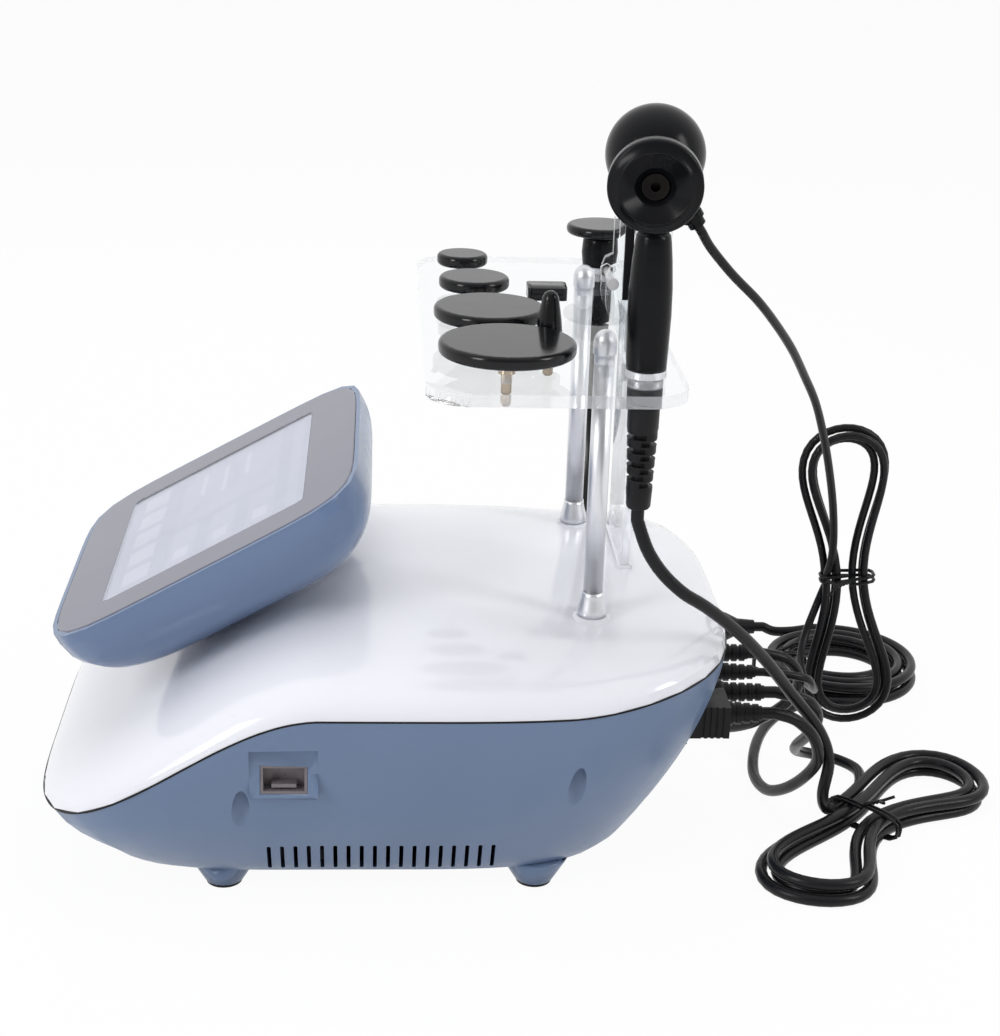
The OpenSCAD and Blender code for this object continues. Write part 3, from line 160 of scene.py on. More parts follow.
def photo_camera():
    """The viewpoint of the photograph: from the +X side, a little above the tray."""
    turn, rise, roll = (math.radians(a) for a in CAMERA_ANGLES)
    back = Vector((math.sin(turn) * math.cos(rise), -math.cos(turn) * math.cos(rise), math.sin(rise)))
    level = Vector((math.cos(turn), math.sin(turn), 0))
    upright = back.cross(level)
    across = math.cos(roll) * level + math.sin(roll) * upright
    up = -math.sin(roll) * level + math.cos(roll) * upright
    data = bpy.data.cameras.new("photo_camera")
    data.sensor_width = SENSOR
    data.lens = SENSOR * FOCAL_PIXELS / PICTURE_PIXELS
    data.clip_start, data.clip_end = 0.01, 100
    camera = bpy.data.objects.new("photo_camera", data)
    place = Matrix((across, up, back)).transposed().to_4x4()
    place.translation = Vector(CAMERA_AIM) + back * CAMERA_DISTANCE
    camera.matrix_world = place
    scene.collection.objects.link(camera)
    scene.camera = camera


def seen_ray(tree):
    """1 for rays that show the background: from the camera, in a mirror, or through glass."""
    path = tree.nodes.new("ShaderNodeLightPath")
    mirror = math_node(tree, "MAXIMUM", path.outputs["Is Camera Ray"], path.outputs["Is Glossy Ray"])
    return math_node(tree, "MAXIMUM", mirror, path.outputs["Is Transmission Ray"])


def world_light():
    """Even light from all round. It looks white, and in mirrored rays it fades towards the viewer."""
    world = bpy.data.worlds.new("studio")
    world.use_nodes = True
    scene.world = world
    tree = world.node_tree
    tree.nodes.clear()
    light = tree.nodes.new("ShaderNodeBackground")
    light.inputs["Color"].default_value = (0.97, 0.98, 1, 1)
    light.inputs["Strength"].default_value = 0.42
    white = tree.nodes.new("ShaderNodeBackground")
    white.inputs["Color"].default_value = (1, 1, 1, 1)
    way = tree.nodes.new("ShaderNodeSeparateXYZ")
    tree.links.new(tree.nodes.new("ShaderNodeTexCoord").outputs["Generated"], way.inputs[0])
    faded = ramp(tree, way.outputs["X"], 0.75, -0.25, 0.4)
    glossy = tree.nodes.new("ShaderNodeLightPath").outputs["Is Glossy Ray"]
    plain = math_node(tree, "SUBTRACT", 1.0, glossy)
    tree.links.new(math_node(tree, "MAXIMUM", faded, plain), white.inputs["Strength"])
    mix_shaders(tree, seen_ray(tree), light, white, "ShaderNodeOutputWorld")


def white_floor():
    """Wide white floor just under the feet, which keeps a faint shadow."""
    bm = bmesh.new()
    bmesh.ops.create_circle(bm, cap_ends=True, segments=96, radius=20)
    mesh = bpy.data.meshes.new("floor")
    bm.to_mesh(mesh)
    bm.free()
    floor = bpy.data.objects.new("floor", mesh)
    floor.location.z = -0.0004
    scene.collection.objects.link(floor)
    paint = bpy.data.materials.new("floor_white")
    paint.use_nodes = True
    tree = paint.node_tree
    tree.nodes.clear()
    matt = tree.nodes.new("ShaderNodeBsdfDiffuse")
    matt.inputs["Color"].default_value = (0.86, 0.86, 0.87, 1)
    glow = tree.nodes.new("ShaderNodeEmission")
    share = math_node(tree, "MULTIPLY", seen_ray(tree), 0.95)
    mix_shaders(tree, share, matt, glow, "ShaderNodeOutputMaterial")
    mesh.materials.append(paint)


def soft_box(name, place, aim, width, height, watts, mirrored=True):
    """A square lamp that faces its aim and can be left out of mirrored and clear pieces."""
    data = bpy.data.lights.new(name, "AREA")
    data.shape = "RECTANGLE"
    data.size, data.size_y = width, height
    data.energy = watts
    lamp = bpy.data.objects.new(name, data)
    lamp.location = place
    lamp.rotation_mode = "QUATERNION"
    lamp.rotation_quaternion = (Vector(aim) - Vector(place)).to_track_quat("-Z", "Y")
    lamp.visible_glossy = mirrored
    lamp.visible_transmission = mirrored
    scene.collection.objects.link(lamp)


def studio():
    """White surroundings and four soft lamps."""
    world_light()
    white_floor()
    soft_box("top_box", (0.1, -0.1, 1.9), (0, 0, 0.1), 1.6, 1.6, 14, mirrored=False)
    soft_box("front_box", (1.1, -1.3, 1.0), (0, 0, 0.15), 0.5, 0.9, 13)
    soft_box("rear_box", (0.7, 1.5, 1.1), (0, 0.1, 0.15), 0.4, 0.9, 8)
    soft_box("far_box", (-1.5, -0.2, 1.1), (0, 0, 0.2), 1.0, 0.8, 6, mirrored=False)


# Cord routes, from the same numbers as the solids

STICK_D, PALM_D, MAINS_D = 7, 5, 7
CORD_GAP = 0.8
REAR, FRONT, DOWN = Vector((0, 1, 0)), Vector((0, -1, 0)), Vector((0, 0, -1))

# Hanks: loops, half length, half width of a lobe, shift along, angle of the start, top layer first
NEAR_HANK = (3, 88, 46, -15, 270, True)
PALM_HANK = (3, 91, 41, 0, 90, False)
FAR_HANK = (3.5, 86, 46, 0, 90, True)
NEAR_PLACE, PALM_PLACE, FAR_PLACE = (29, 296), (-86.5, 295, 111), (-205, 95)
NEAR_ALONG = Vector((-0.69, 0.72, 0)).normalized()
NEAR_ACROSS = Vector((NEAR_ALONG.y, -NEAR_ALONG.x, 0))
NEAR_BOW = 1 / 0.0042
PALM_ALONG = Vector((0, -0.1, 1)).normalized()
PALM_ACROSS = PALM_ALONG.cross(Vector((-1, 0, 0)))

# Mains coil: its middle, turns, least radius and spread of one turn
COIL_PLACE, COIL_LOOPS, COIL_R, COIL_STEP = (-185, 318), 5.5, 28.7, 9


def smooth(t):
    c = min(1, max(0, t))
    return c * c * (3 - 2 * c)


def hank_point(form, d, t):
    """A point of a figure of eight in two layers: along it, across it, and its height."""
    loops, half, lobe, shift, start, top_first = form
    a = math.radians(start + 360 * t)
    wide = d / 2 + CORD_GAP + lobe * math.cos(a) ** 2
    way = Vector((-half * math.sin(a), wide * math.cos(a) - 2 * lobe * math.cos(a) * math.sin(a) ** 2))
    out = Vector((way.y, -way.x)).normalized() * abs(t - loops / 2) * (d + 2)
    climb = smooth((t - loops / 2) * 2 + 0.5)
    layer = 1 - climb if top_first else climb
    return half * math.cos(a) + out.x + shift, wide * math.sin(a) + out.y, d / 2 + (d + CORD_GAP) * layer


def near_hank_at(t):
    """The near hank lies on the table, bowed along its length."""
    along, across, z = hank_point(NEAR_HANK, STICK_D, t)
    turn = along / NEAR_BOW
    ahead = (NEAR_BOW - across) * math.sin(turn)
    aside = NEAR_BOW - (NEAR_BOW - across) * math.cos(turn)
    return Vector((*NEAR_PLACE, z)) + ahead * NEAR_ALONG + aside * NEAR_ACROSS


def palm_hank_at(t):
    """The palm hank hangs behind the unit."""
    along, across, z = hank_point(PALM_HANK, PALM_D, t)
    x, y, height = PALM_PLACE
    return Vector((x - z, y, height)) + along * PALM_ALONG + across * PALM_ACROSS


def far_hank_at(t):
    """The far hank lies on the table beside the unit."""
    along, across, z = hank_point(FAR_HANK, STICK_D, t)
    return Vector((FAR_PLACE[0] - across, FAR_PLACE[1] + along, z))


def coil_at(t):
    """The mains coil winds in on the table and out again on top of itself."""
    from_middle = t - COIL_LOOPS / 2
    r = COIL_R + abs(from_middle) * COIL_STEP
    a = math.radians(360 * t)
    z = MAINS_D / 2 + (MAINS_D + CORD_GAP) * smooth(from_middle * 2 + 0.5)
    return Vector((COIL_PLACE[0] + r * math.cos(a), COIL_PLACE[1] + r * math.sin(a), z))


def turns(at, loops, per=72):
    return [at(loops * i / round(loops * per)) for i in range(round(loops * per) + 1)]


def run(points, per=6):
    """A smooth run through its points, which it passes."""
    line = []
    for i in range(len(points) - 1):
        a, b, c, d = (points[min(len(points) - 1, max(0, i + k))] for k in (-1, 0, 1, 2))
        for k in range(per):
            u = k / per
            line.append(0.5 * (2 * b + (c - a) * u + (2 * a - 5 * b + 4 * c - d) * u * u
                               + (3 * b - a - 3 * c + d) * u ** 3))
    return line + [points[-1]]


def free(start, way, route, end, end_way, d):
    """A free stretch: straight out of both ends, then curved through its route."""
    start, way, end = Vector(start), Vector(way).normalized(), Vector(end)
    knots = [start + d * way] + [Vector(p) for p in route] + [end - d * end_way]
    return [start] + run(knots) + [end]


def ways(at, loops):
    """The directions in which a hank or coil starts and ends."""
    step = 1 / 24
    return (at(step) - at(0)).normalized(), (at(loops) - at(loops - step)).normalized()


def handpiece_line(at, loops, boot, route, plug, lead_route, way=DOWN, d=STICK_D):
    """Plug, lead, hank and the free stretch up to a handpiece, as one line."""
    first, last = ways(at, loops)
    lead = free(plug, REAR, lead_route, at(loops), -last, d)
    rise = free(boot, way, route, at(0), first, d)
    return lead + turns(at, loops)[::-1][1:] + rise[::-1][1:]


def mains_line():
    """Connector, lead, coil and the short tail to the mains plug, as one line."""
    first, last = ways(coil_at, COIL_LOOPS)
    lead_route = [
        (67, 233, 86), (64, 245, 73), (56, 250, 55), (43, 246, 37), (25, 239, 20), (3, 233, 8),
        (-25, 231, 3.5), (-58, 237, 3.5), (-90, 249, 3.5), (-116, 267, 3.5), (-130, 289, 3.5)]
    tail_route = [(-237, 296, 10), (-239, 283, 9)]
    lead = free((68, 212.2, 91), REAR, lead_route, coil_at(0), first, MAINS_D)
    tail = free(coil_at(COIL_LOOPS), last, tail_route, (-240, 268, 12), FRONT, MAINS_D)
    return lead + turns(coil_at, COIL_LOOPS)[1:] + tail[1:]


NEAR_LINE = handpiece_line(
    near_hank_at, NEAR_HANK[0], (116, 128, 232),
    [(117, 134, 209), (115, 143, 195), (113, 155, 183), (107, 168, 173), (98, 182, 160), (87, 197, 144),
     (74, 213, 124), (61, 230, 100), (52.5, 250, 73), (51, 258, 52.5), (50.5, 256.5, 30.5), (43, 261, 17)],
    (40, 218.5, 91),
    [(38, 246, 84), (27, 255, 68), (8, 255, 48), (-14, 254, 30), (-36, 259, 15), (-49, 272, 6),
     (-46, 288, 3.5), (-31, 298, 3.5), (-10, 294.5, 3.5), (9, 285, 3.5)])
PALM_LINE = handpiece_line(
    palm_hank_at, PALM_HANK[0], (82, 155, 373.5),
    [(76, 164, 360), (66, 178, 344), (52, 195, 327), (34, 210, 309), (14, 224, 290), (-8, 237, 269),
     (-28, 250, 246), (-46, 261, 219), (-61, 270, 192), (-73, 277, 166), (-80, 281, 143), (-84, 282, 127)],
    (12, 218.5, 91),
    [(9, 249, 86), (-4, 258, 74), (-26, 264, 62), (-50, 264, 57), (-72, 265, 61), (-86, 270, 73),
     (-93, 277, 90)],
    way=(-2, 10, -15), d=PALM_D)
FAR_LINE = handpiece_line(
    far_hank_at, FAR_HANK[0], (-116, 128, 232),
    [(-118, 128, 210), (-126, 129, 194), (-140, 131, 178), (-158, 132, 160), (-176, 133, 138),
     (-192, 133, 112), (-205, 132, 84), (-216, 129, 56), (-225, 123, 29), (-226, 113, 15.5)],
    (-16, 218.5, 91),
    [(-18, 243, 86), (-23, 253, 73), (-31, 253, 56), (-42, 244, 39), (-57, 231, 23), (-77, 219, 11),
     (-100, 211, 5), (-128, 200, 3.5), (-151, 184, 3.5), (-164, 163, 3.5), (-174, 141, 3.5),
     (-180.5, 121, 3.5)])


# Housing forms, from the same numbers as the solids

HALF_W, HALF_L = 152, 192
FORM_COUNT = 192
HEAD = Matrix.Translation((0, -0.0993, 0.1886)) @ Matrix.Rotation(math.radians(29.1), 4, "X")
HEAD_HALF_W, HEAD_HALF_H, HEAD_POWER = 110, 95, 6.5


def rounded_ring(half_w, half_h, power, count):
    """Points of a superellipse; power gives its squareness from the sine of the angle."""
    ring = []
    for i in range(count):
        a = 2 * math.pi * i / count
        c, s = math.cos(a), math.sin(a)
        e = power(s)
        r = (abs(c / half_w) ** e + abs(s / half_h) ** e) ** (-1 / e)
        ring.append((r * c, r * s))
    return ring


def face_outline(half_w, half_h, power, count, height):
    """Closed ring on the sloping face: x across, y up the slope, z out of it."""
    return [Vector((x, y, height)) * MM for x, y in rounded_ring(half_w, half_h, lambda s: power, count)]


def plan(count, half_w=HALF_W, half_l=HALF_L):
    """Plan outline of the housing, squarer at the front than at the rear."""
    return rounded_ring(half_w, half_l, lambda s: 5 if s < 0 else 3.6, count)


def seam_z(y):
    """Height of the S-shaped parting line: low in front, one long rise, and a small one at the rear."""
    return 54 + 71 * smooth((y + 200) / 165) + 10 * smooth((y - 95) / 100)


def hull_form():
    """Outside of the lower shell, from the underside up to the seam."""
    # Shares of the height under the seam: where the form ends, and where its lower rounding starts
    low, knee = 0.98, 0.92
    side_tuck, front_tuck, rear_tuck, under_z = 42 / HALF_W, 0.20, 0.29, 12
    steps = [low - (low - knee) * i / 4 for i in range(4)] + [knee - knee * i / 40 for i in range(41)]
    rings = []
    for below in steps:
        below = max(0, below)
        squeeze = 0.985 + 0.015 * min(1, (low - below) / 0.06)
        wide = (1 - side_tuck * below ** 1.7) * squeeze
        ring = []
        for x, y in plan(FORM_COUNT):
            tuck = front_tuck * below ** 1.15 if y < 0 else rear_tuck * below ** 1.5
            deep = (1 - tuck) * squeeze
            ring.append(Vector((x * wide, y * deep, seam_z(y) - (seam_z(y) - under_z) * below)))
        rings.append(ring)
    return rings


def crown_form():
    """Outside of the cover, from near its middle out to the seam."""
    rings = []
    for i in range(49):
        s = 0.02 + 0.98 * math.sin(math.pi / 2 * i / 48)
        lift = 32 * math.sqrt(max(0, 1 - s ** 2.7))
        rings.append([Vector((x * s, y * s, seam_z(y * s) + 0.4 + lift)) for x, y in plan(FORM_COUNT)])
    return rings


def head_form():
    """Swollen back of the display head, from its flat to its rim."""
    flat, deep, rim_low, rim_top = 0.64, 41, -4, 2.5
    outline = rounded_ring(HEAD_HALF_W, HEAD_HALF_H, lambda s: HEAD_POWER, FORM_COUNT)
    rings = []
    for i in range(33):
        s = flat + (1 - flat) * math.sin(math.pi / 2 * i / 32)
        swell = math.sqrt(max(0, 1 - s ** 2.5)) / math.sqrt(1 - flat ** 2.5)
        rings.append([Vector((x * s, y * s, rim_low - deep * swell)) for x, y in outline])
    rings.append([Vector((x, y, rim_top)) for x, y in outline])
    return [[HEAD @ (p * MM) / MM for p in ring] for ring in rings]


def form_skin(rings):
    """Points and faces of a form, and a tree that finds the nearest place on it."""
    points = [p * MM for ring in rings for p in ring]
    count = len(rings[0])
    faces = []
    for i in range(len(rings) - 1):
        for j in range(count):
            k = (j + 1) % count
            faces.append((i * count + j, i * count + k, (i + 1) * count + k, (i + 1) * count + j))
    return points, faces, BVHTree.FromPolygons(points, faces)


# How near to a form a facet lies, in metres, and how well its normal agrees, to count as part of it
FORM_REACH, FORM_AGREE = 0.0007, 0.9
LONGEST_EDGE, SPLIT_PASSES, FURTHEST_MOVE = 0.009, 4, 0.0015


def round_out(mesh, rings, leave):
    """Splits the facets that lie on a form and sets the new points on it, so that outlines run smoothly.

    Points that border on another surface stay in place, and so do all points in the box to leave."""
    tree = form_skin(rings)[2]

    def lies_on_form(face):
        centre = face.calc_center_median()
        if all(low < c < high for low, c, high in zip(leave[0], centre, leave[1])):
            return False
        place, normal, _, _ = tree.find_nearest(centre, FORM_REACH)
        return place is not None and abs(normal.dot(face.normal)) > FORM_AGREE

    bm = bmesh.new()
    bm.from_mesh(mesh)
    for _ in range(SPLIT_PASSES):
        bm.normal_update()
        lying = {face for face in bm.faces if lies_on_form(face)}
        long_ones = [edge for edge in bm.edges if edge.calc_length() > LONGEST_EDGE
                     and len(edge.link_faces) == 2 and all(face in lying for face in edge.link_faces)]
        old = set(bm.verts)
        bmesh.ops.subdivide_edges(bm, edges=long_ones, cuts=1)
        for vert in bm.verts:
            if vert not in old:
                place = tree.find_nearest(vert.co, FURTHEST_MOVE)[0]
                vert.co = vert.co if place is None else place
    bmesh.ops.triangulate(bm, faces=[face for face in bm.faces if len(face.verts) > 3])
    bm.to_mesh(mesh)
    bm.free()


def lay_normals(mesh, rings):
    """Shades the faces that lie on a form by that form's own smooth normals."""
    points, faces, tree = form_skin(rings)
    form = bpy.data.meshes.new("form")
    form.from_pydata(points, [], faces)
    lean = [v.normal.copy() for v in form.vertices]
    normals = [n.vector.copy() for n in mesh.corner_normals]
    for face in mesh.polygons:
        place, normal, _, _ = tree.find_nearest(face.center, FORM_REACH)
        if place is None or abs(normal.dot(face.normal)) < FORM_AGREE:
            continue
        sign = 1 if normal.dot(face.normal) > 0 else -1
        for loop in face.loop_indices:
            at = mesh.vertices[mesh.loops[loop].vertex_index].co
            place, _, index, _ = tree.find_nearest(at)
            corners = faces[index]
            weights = poly_3d_calc([points[k] for k in corners], place)
            normal_there = sum((w * lean[k] for w, k in zip(weights, corners)), Vector())
            normals[loop] = sign * normal_there.normalized()
    mesh.normals_split_custom_set(normals)
    bpy.data.meshes.remove(form)


# Meshes

def add_piece(name, mesh, finish, body=None):
    piece = bpy.data.objects.new(name, mesh)
    scene.collection.objects.link(piece)
    mesh.materials.append(finish)
    if body:
        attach(piece, body)
    return piece


def skin(bm, rings, closed=False):
    """Faces between rings of points, joined end to end or with a face over each end."""
    for one, two in zip(rings, rings[1:] + rings[:1] if closed else rings[1:]):
        count = len(one)
        for i in range(count):
            k = (i + 1) % count
            bm.faces.new((one[i], one[k], two[k], two[i]))
    if not closed:
        bm.faces.new(rings[0][::-1])
        bm.faces.new(rings[-1])


def sweep(bm, line, outline, closed=False):
    """Carries an outline, given as (across, up) pairs, along a line without twist."""
    count = len(line)
    rings, across = [], None
    for i, p in enumerate(line):
        after = line[(i + 1) % count] if closed else line[min(count - 1, i + 1)]
        before = line[i - 1] if closed else line[max(0, i - 1)]
        way = (after - before).normalized()
        if across is None:
            across = Vector((0, 0, 1)) if abs(way.z) < 0.9 else Vector((1, 0, 0))
        across = (across - across.dot(way) * way).normalized()
        up = way.cross(across)
        rings.append([bm.verts.new(p + a * across + b * up) for a, b in outline])
    skin(bm, rings, closed)


def round_outline(radius, sides):
    return [(radius * math.cos(2 * math.pi * j / sides), radius * math.sin(2 * math.pi * j / sides))
            for j in range(sides)]


def smooth_shade(mesh, angle):
    mesh.shade_smooth()
    mesh.set_sharp_from_angle(angle=math.radians(angle))


def mesh_from(bm, name, angle):
    bmesh.ops.recalc_face_normals(bm, faces=bm.faces)
    mesh = bpy.data.meshes.new(name)
    bm.to_mesh(mesh)
    bm.free()
    smooth_shade(mesh, angle)
    return mesh


# Effects that the finishes share, as shader groups

def new_group(name, inputs, outputs):
    group = bpy.data.node_groups.new(name, "ShaderNodeTree")
    for label, default in inputs:
        socket = group.interface.new_socket(label, in_out="INPUT", socket_type="NodeSocketFloat")
        socket.default_value = default
    for label in outputs:
        group.interface.new_socket(label, in_out="OUTPUT", socket_type="NodeSocketFloat")
    return group, group.nodes.new("NodeGroupInput"), group.nodes.new("NodeGroupOutput")


def moulding_grain_group():
    """Fine spark-eroded texture and slow clouding of a moulded face."""
    group, given, out = new_group(
        "moulding_grain", [("Grain", 1400.0), ("Clouds", 14.0)], ["Height", "Shade", "Rough"])
    at = object_coords(group)
    fine = noise(group, at, given.outputs["Grain"], 2.0, 0.6)
    cloud = noise(group, at, given.outputs["Clouds"], 4.0, 0.55)
    rub = noise(group, at, 55.0, 5.0, 0.6)
    group.links.new(fine, out.inputs["Height"])
    group.links.new(ramp(group, cloud, 0.3, 0.7, -1.0, 1.0), out.inputs["Shade"])
    group.links.new(ramp(group, rub, 0.35, 0.75, -1.0, 1.0), out.inputs["Rough"])
    return group


def scuff_and_glint_edges_group():
    """1 along outer edges, broken up: where hands and cloths rub, and on the plastics also where a painted
    highlight runs along the rims.
    """
    group, given, out = new_group("scuff_and_glint_edges", [("Width", 0.0008), ("Amount", 1.0)], ["Mask"])
    bevel = group.nodes.new("ShaderNodeBevel")
    bevel.samples = 4
    group.links.new(given.outputs["Width"], bevel.inputs["Radius"])
    plain = group.nodes.new("ShaderNodeNewGeometry")
    dot = group.nodes.new("ShaderNodeVectorMath")
    dot.operation = "DOT_PRODUCT"
    group.links.new(bevel.outputs["Normal"], dot.inputs[0])
    group.links.new(plain.outputs["Normal"], dot.inputs[1])
    edge = ramp(group, dot.outputs["Value"], 0.995, 0.9)
    patch = ramp(group, noise(group, object_coords(group), 90.0, 4.0, 0.65), 0.38, 0.66)
    scuffed_and_glinting = math_node(group, "MULTIPLY", edge, patch)
    group.links.new(math_node(group, "MULTIPLY", scuffed_and_glinting, given.outputs["Amount"], True), out.inputs["Mask"])
    return group


def settled_dust_group():
    """Thin dust on faces that look up, in drifts."""
    group, given, out = new_group("settled_dust", [("Amount", 0.1)], ["Mask"])
    plain = group.nodes.new("ShaderNodeNewGeometry")
    split = group.nodes.new("ShaderNodeSeparateXYZ")
    group.links.new(plain.outputs["Normal"], split.inputs[0])
    up = ramp(group, split.outputs["Z"], 0.45, 1.0)
    drift = ramp(group, noise(group, object_coords(group), 38.0, 6.0, 0.7), 0.4, 0.8)
    speck = ramp(group, noise(group, object_coords(group), 2600.0, 1.0, 0.5), 0.62, 0.72)
    fall = math_node(group, "ADD", math_node(group, "MULTIPLY", drift, 0.6), speck)
    both = math_node(group, "MULTIPLY", up, fall)
    group.links.new(math_node(group, "MULTIPLY", both, given.outputs["Amount"], True), out.inputs["Mask"])
    return group


def turned_marks_group():
    """Fine rings that a lathe leaves round an upright piece."""
    group, given, out = new_group("turned_marks", [("Pitch", 900.0)], ["Height", "Rough"])
    at = object_coords(group)
    rings = noise(group, at, given.outputs["Pitch"], 2.0, 0.5, (0.01, 0.01, 1.0))
    haze = noise(group, at, 60.0, 4.0, 0.6)
    group.links.new(rings, out.inputs["Height"])
    group.links.new(ramp(group, haze, 0.3, 0.75, -1.0, 1.0), out.inputs["Rough"])
    return group


def screen_layout_group():
    """Faint panels of a plain menu: a top bar, a wide panel, a column of tiles and a row of keys."""
    group, _, out = new_group("screen_layout", [], ["Panel", "Key"])
    split = group.nodes.new("ShaderNodeSeparateXYZ")
    group.links.new(group.nodes.new("ShaderNodeTexCoord").outputs["UV"], split.inputs[0])

    def patch(left, low, right, high):
        masks = []
        for axis, one, two in (("X", left, right), ("Y", low, high)):
            offset = math_node(group, "SUBTRACT", split.outputs[axis], (one + two) / 2)
            away = math_node(group, "ABSOLUTE", offset)
            masks.append(ramp(group, away, (two - one) / 2, (two - one) / 2 - 0.006))
        return math_node(group, "MULTIPLY", *masks)

    def either(patches):
        total = patches[0]
        for one in patches[1:]:
            total = math_node(group, "MAXIMUM", total, one)
        return total

    tile_rows = (0.30, 0.50, 0.70)
    panels = [patch(0.04, 0.90, 0.96, 0.965), patch(0.04, 0.30, 0.58, 0.84)]
    panels += [patch(0.63, low, 0.96, low + 0.14) for low in tile_rows]
    keys = [patch(0.05 + 0.185 * i, 0.07, 0.19 + 0.185 * i, 0.21) for i in range(5)]
    keys += [patch(0.10, 0.40 + 0.12 * i, 0.34 + 0.06 * (i % 2), 0.43 + 0.12 * i) for i in range(3)]
    keys += [patch(0.82, low + 0.03, 0.92, low + 0.11) for low in tile_rows]
    group.links.new(either(panels), out.inputs["Panel"])
    group.links.new(either(keys), out.inputs["Key"])
    return group


GRAIN = moulding_grain_group()
EDGES = scuff_and_glint_edges_group()
DUST = settled_dust_group()
TURNED = turned_marks_group()


# Finishes

DUST_COLOUR = (0.62, 0.61, 0.6)
BARE_METAL = (0.93, 0.92, 0.9)
TINNED = (0.55, 0.55, 0.5)


def place_group(tree, group, **values):
    node = tree.nodes.new("ShaderNodeGroup")
    node.node_tree = group
    for label, value in values.items():
        node.inputs[label].default_value = value
    return node


def new_finish(name, **constants):
    """A material with its plain values on the shader's own sockets."""
    finish = bpy.data.materials.new(name)
    finish.use_nodes = True
    tree = finish.node_tree
    shader = tree.nodes["Principled BSDF"]
    for label, value in constants.items():
        shader.inputs[label.replace("_", " ")].default_value = value
    return finish, tree, shader


def set_bump(tree, shader, height, strength, distance):
    bump = tree.nodes.new("ShaderNodeBump")
    bump.inputs["Strength"].default_value = strength
    bump.inputs["Distance"].default_value = distance
    tree.links.new(height, bump.inputs["Height"])
    tree.links.new(bump.outputs["Normal"], shader.inputs["Normal"])


def moulded(name, colour, shade, scuffed_and_glinting, rough, rough_spread, grain=1400.0, bump=0.12, scuff_glint_amount=0.5, dust=0.06,
            coat=0.0, coat_rough=0.1, shine=0.5):
    """A moulded plastic or rubber: clouded colour, fine grain, lighter edges that are partly rubbing and
    partly a painted highlight, and thin dust.
    """
    finish, tree, shader = new_finish(
        name, Specular_IOR_Level=shine, Coat_Weight=coat, Coat_Roughness=coat_rough)
    texture = place_group(tree, GRAIN, Grain=grain)
    cloud = ramp(tree, texture.outputs["Shade"], -1.0, 1.0)
    body = mix_colour(tree, cloud, colour, shade)
    scuff_glint = place_group(tree, EDGES, Width=0.0007, Amount=scuff_glint_amount)
    # lighter colour along the edges: scuffing from rubbing, and also a painted highlight along the rims
    body = mix_colour(tree, scuff_glint.outputs["Mask"], body, scuffed_and_glinting)
    settled = place_group(tree, DUST, Amount=dust)
    body = mix_colour(tree, settled.outputs["Mask"], body, DUST_COLOUR)
    tree.links.new(body, shader.inputs["Base Color"])
    spread = math_node(tree, "MULTIPLY", texture.outputs["Rough"], rough_spread)
    dulled = math_node(tree, "MULTIPLY", settled.outputs["Mask"], 0.4)
    level = math_node(tree, "ADD", math_node(tree, "ADD", spread, dulled), rough, True)
    tree.links.new(level, shader.inputs["Roughness"])
    set_bump(tree, shader, texture.outputs["Height"], bump, 0.00008)
    return finish


def plated(name, colour, tint, rough, rough_spread, pitch=900.0, bump=0.08, scuff_glint_amount=0.6):
    """A turned or drawn metal: lathe rings, haze in the polish, darker in hollows of the haze."""
    finish, tree, shader = new_finish(name, Metallic=1.0)
    marks = place_group(tree, TURNED, Pitch=pitch)
    haze = ramp(tree, marks.outputs["Rough"], -1.0, 1.0)
    scuff_glint = place_group(tree, EDGES, Width=0.0005, Amount=scuff_glint_amount)
    body = mix_colour(tree, scuff_glint.outputs["Mask"], mix_colour(tree, haze, colour, tint), BARE_METAL)
    tree.links.new(body, shader.inputs["Base Color"])
    spread = math_node(tree, "MULTIPLY", marks.outputs["Rough"], rough_spread)
    tree.links.new(math_node(tree, "ADD", spread, rough, True), shader.inputs["Roughness"])
    set_bump(tree, shader, marks.outputs["Height"], bump, 0.00004)
    return finish


def clear_acrylic():
    """Cast acrylic with faint wiping haze, which throws only a light shadow."""
    finish, tree, shader = new_finish(
        "clear_acrylic", Transmission_Weight=1.0, IOR=1.03, Coat_Weight=0.6, Coat_Roughness=0.02)
    haze = noise(tree, object_coords(tree), 45.0, 5.0, 0.65)
    tree.links.new(ramp(tree, haze, 0.45, 0.8, 0.012, 0.07), shader.inputs["Roughness"])
    colour = mix_colour(tree, haze, (0.97, 0.985, 0.99), (0.94, 0.96, 0.97))
    tree.links.new(colour, shader.inputs["Base Color"])
    shadow = tree.nodes.new("ShaderNodeLightPath").outputs["Is Shadow Ray"]
    tree.links.new(ramp(tree, shadow, 0.0, 1.0, 1.0, 0.12), shader.inputs["Alpha"])
    return finish


def acrylic_edge_painted_light():
    """Polished edge of the clear sheet, painted whiter than its faces: painted light in place of the light
    that the edge gathers and reflects inside.
    """
    finish, tree, shader = new_finish("acrylic_edge_painted_light", Coat_Weight=1.0, Coat_Roughness=0.03)
    band = noise(tree, object_coords(tree), 12.0, 1.0, 0.4, (1.0, 1.0, 4.0))
    colour = mix_colour(tree, band, (0.93, 0.94, 0.97), (0.80, 0.81, 0.85))
    tree.links.new(colour, shader.inputs["Base Color"])
    tree.links.new(ramp(tree, band, 0.35, 0.7, 0.05, 0.1), shader.inputs["Roughness"])
    tree.links.new(ramp(tree, band, 0.35, 0.7, 0.4, 0.28), shader.inputs["Alpha"])
    return finish


def window_glass():
    """Clear front sheet over the screen, with faint wiping haze."""
    finish, tree, shader = new_finish("window_glass", Transmission_Weight=1.0, IOR=1.2)
    haze = noise(tree, object_coords(tree), 60.0, 5.0, 0.6)
    tree.links.new(ramp(tree, haze, 0.4, 0.8, 0.03, 0.12), shader.inputs["Roughness"])
    colour = mix_colour(tree, haze, (0.99, 0.99, 1.0), (0.97, 0.97, 0.99))
    tree.links.new(colour, shader.inputs["Base Color"])
    return finish


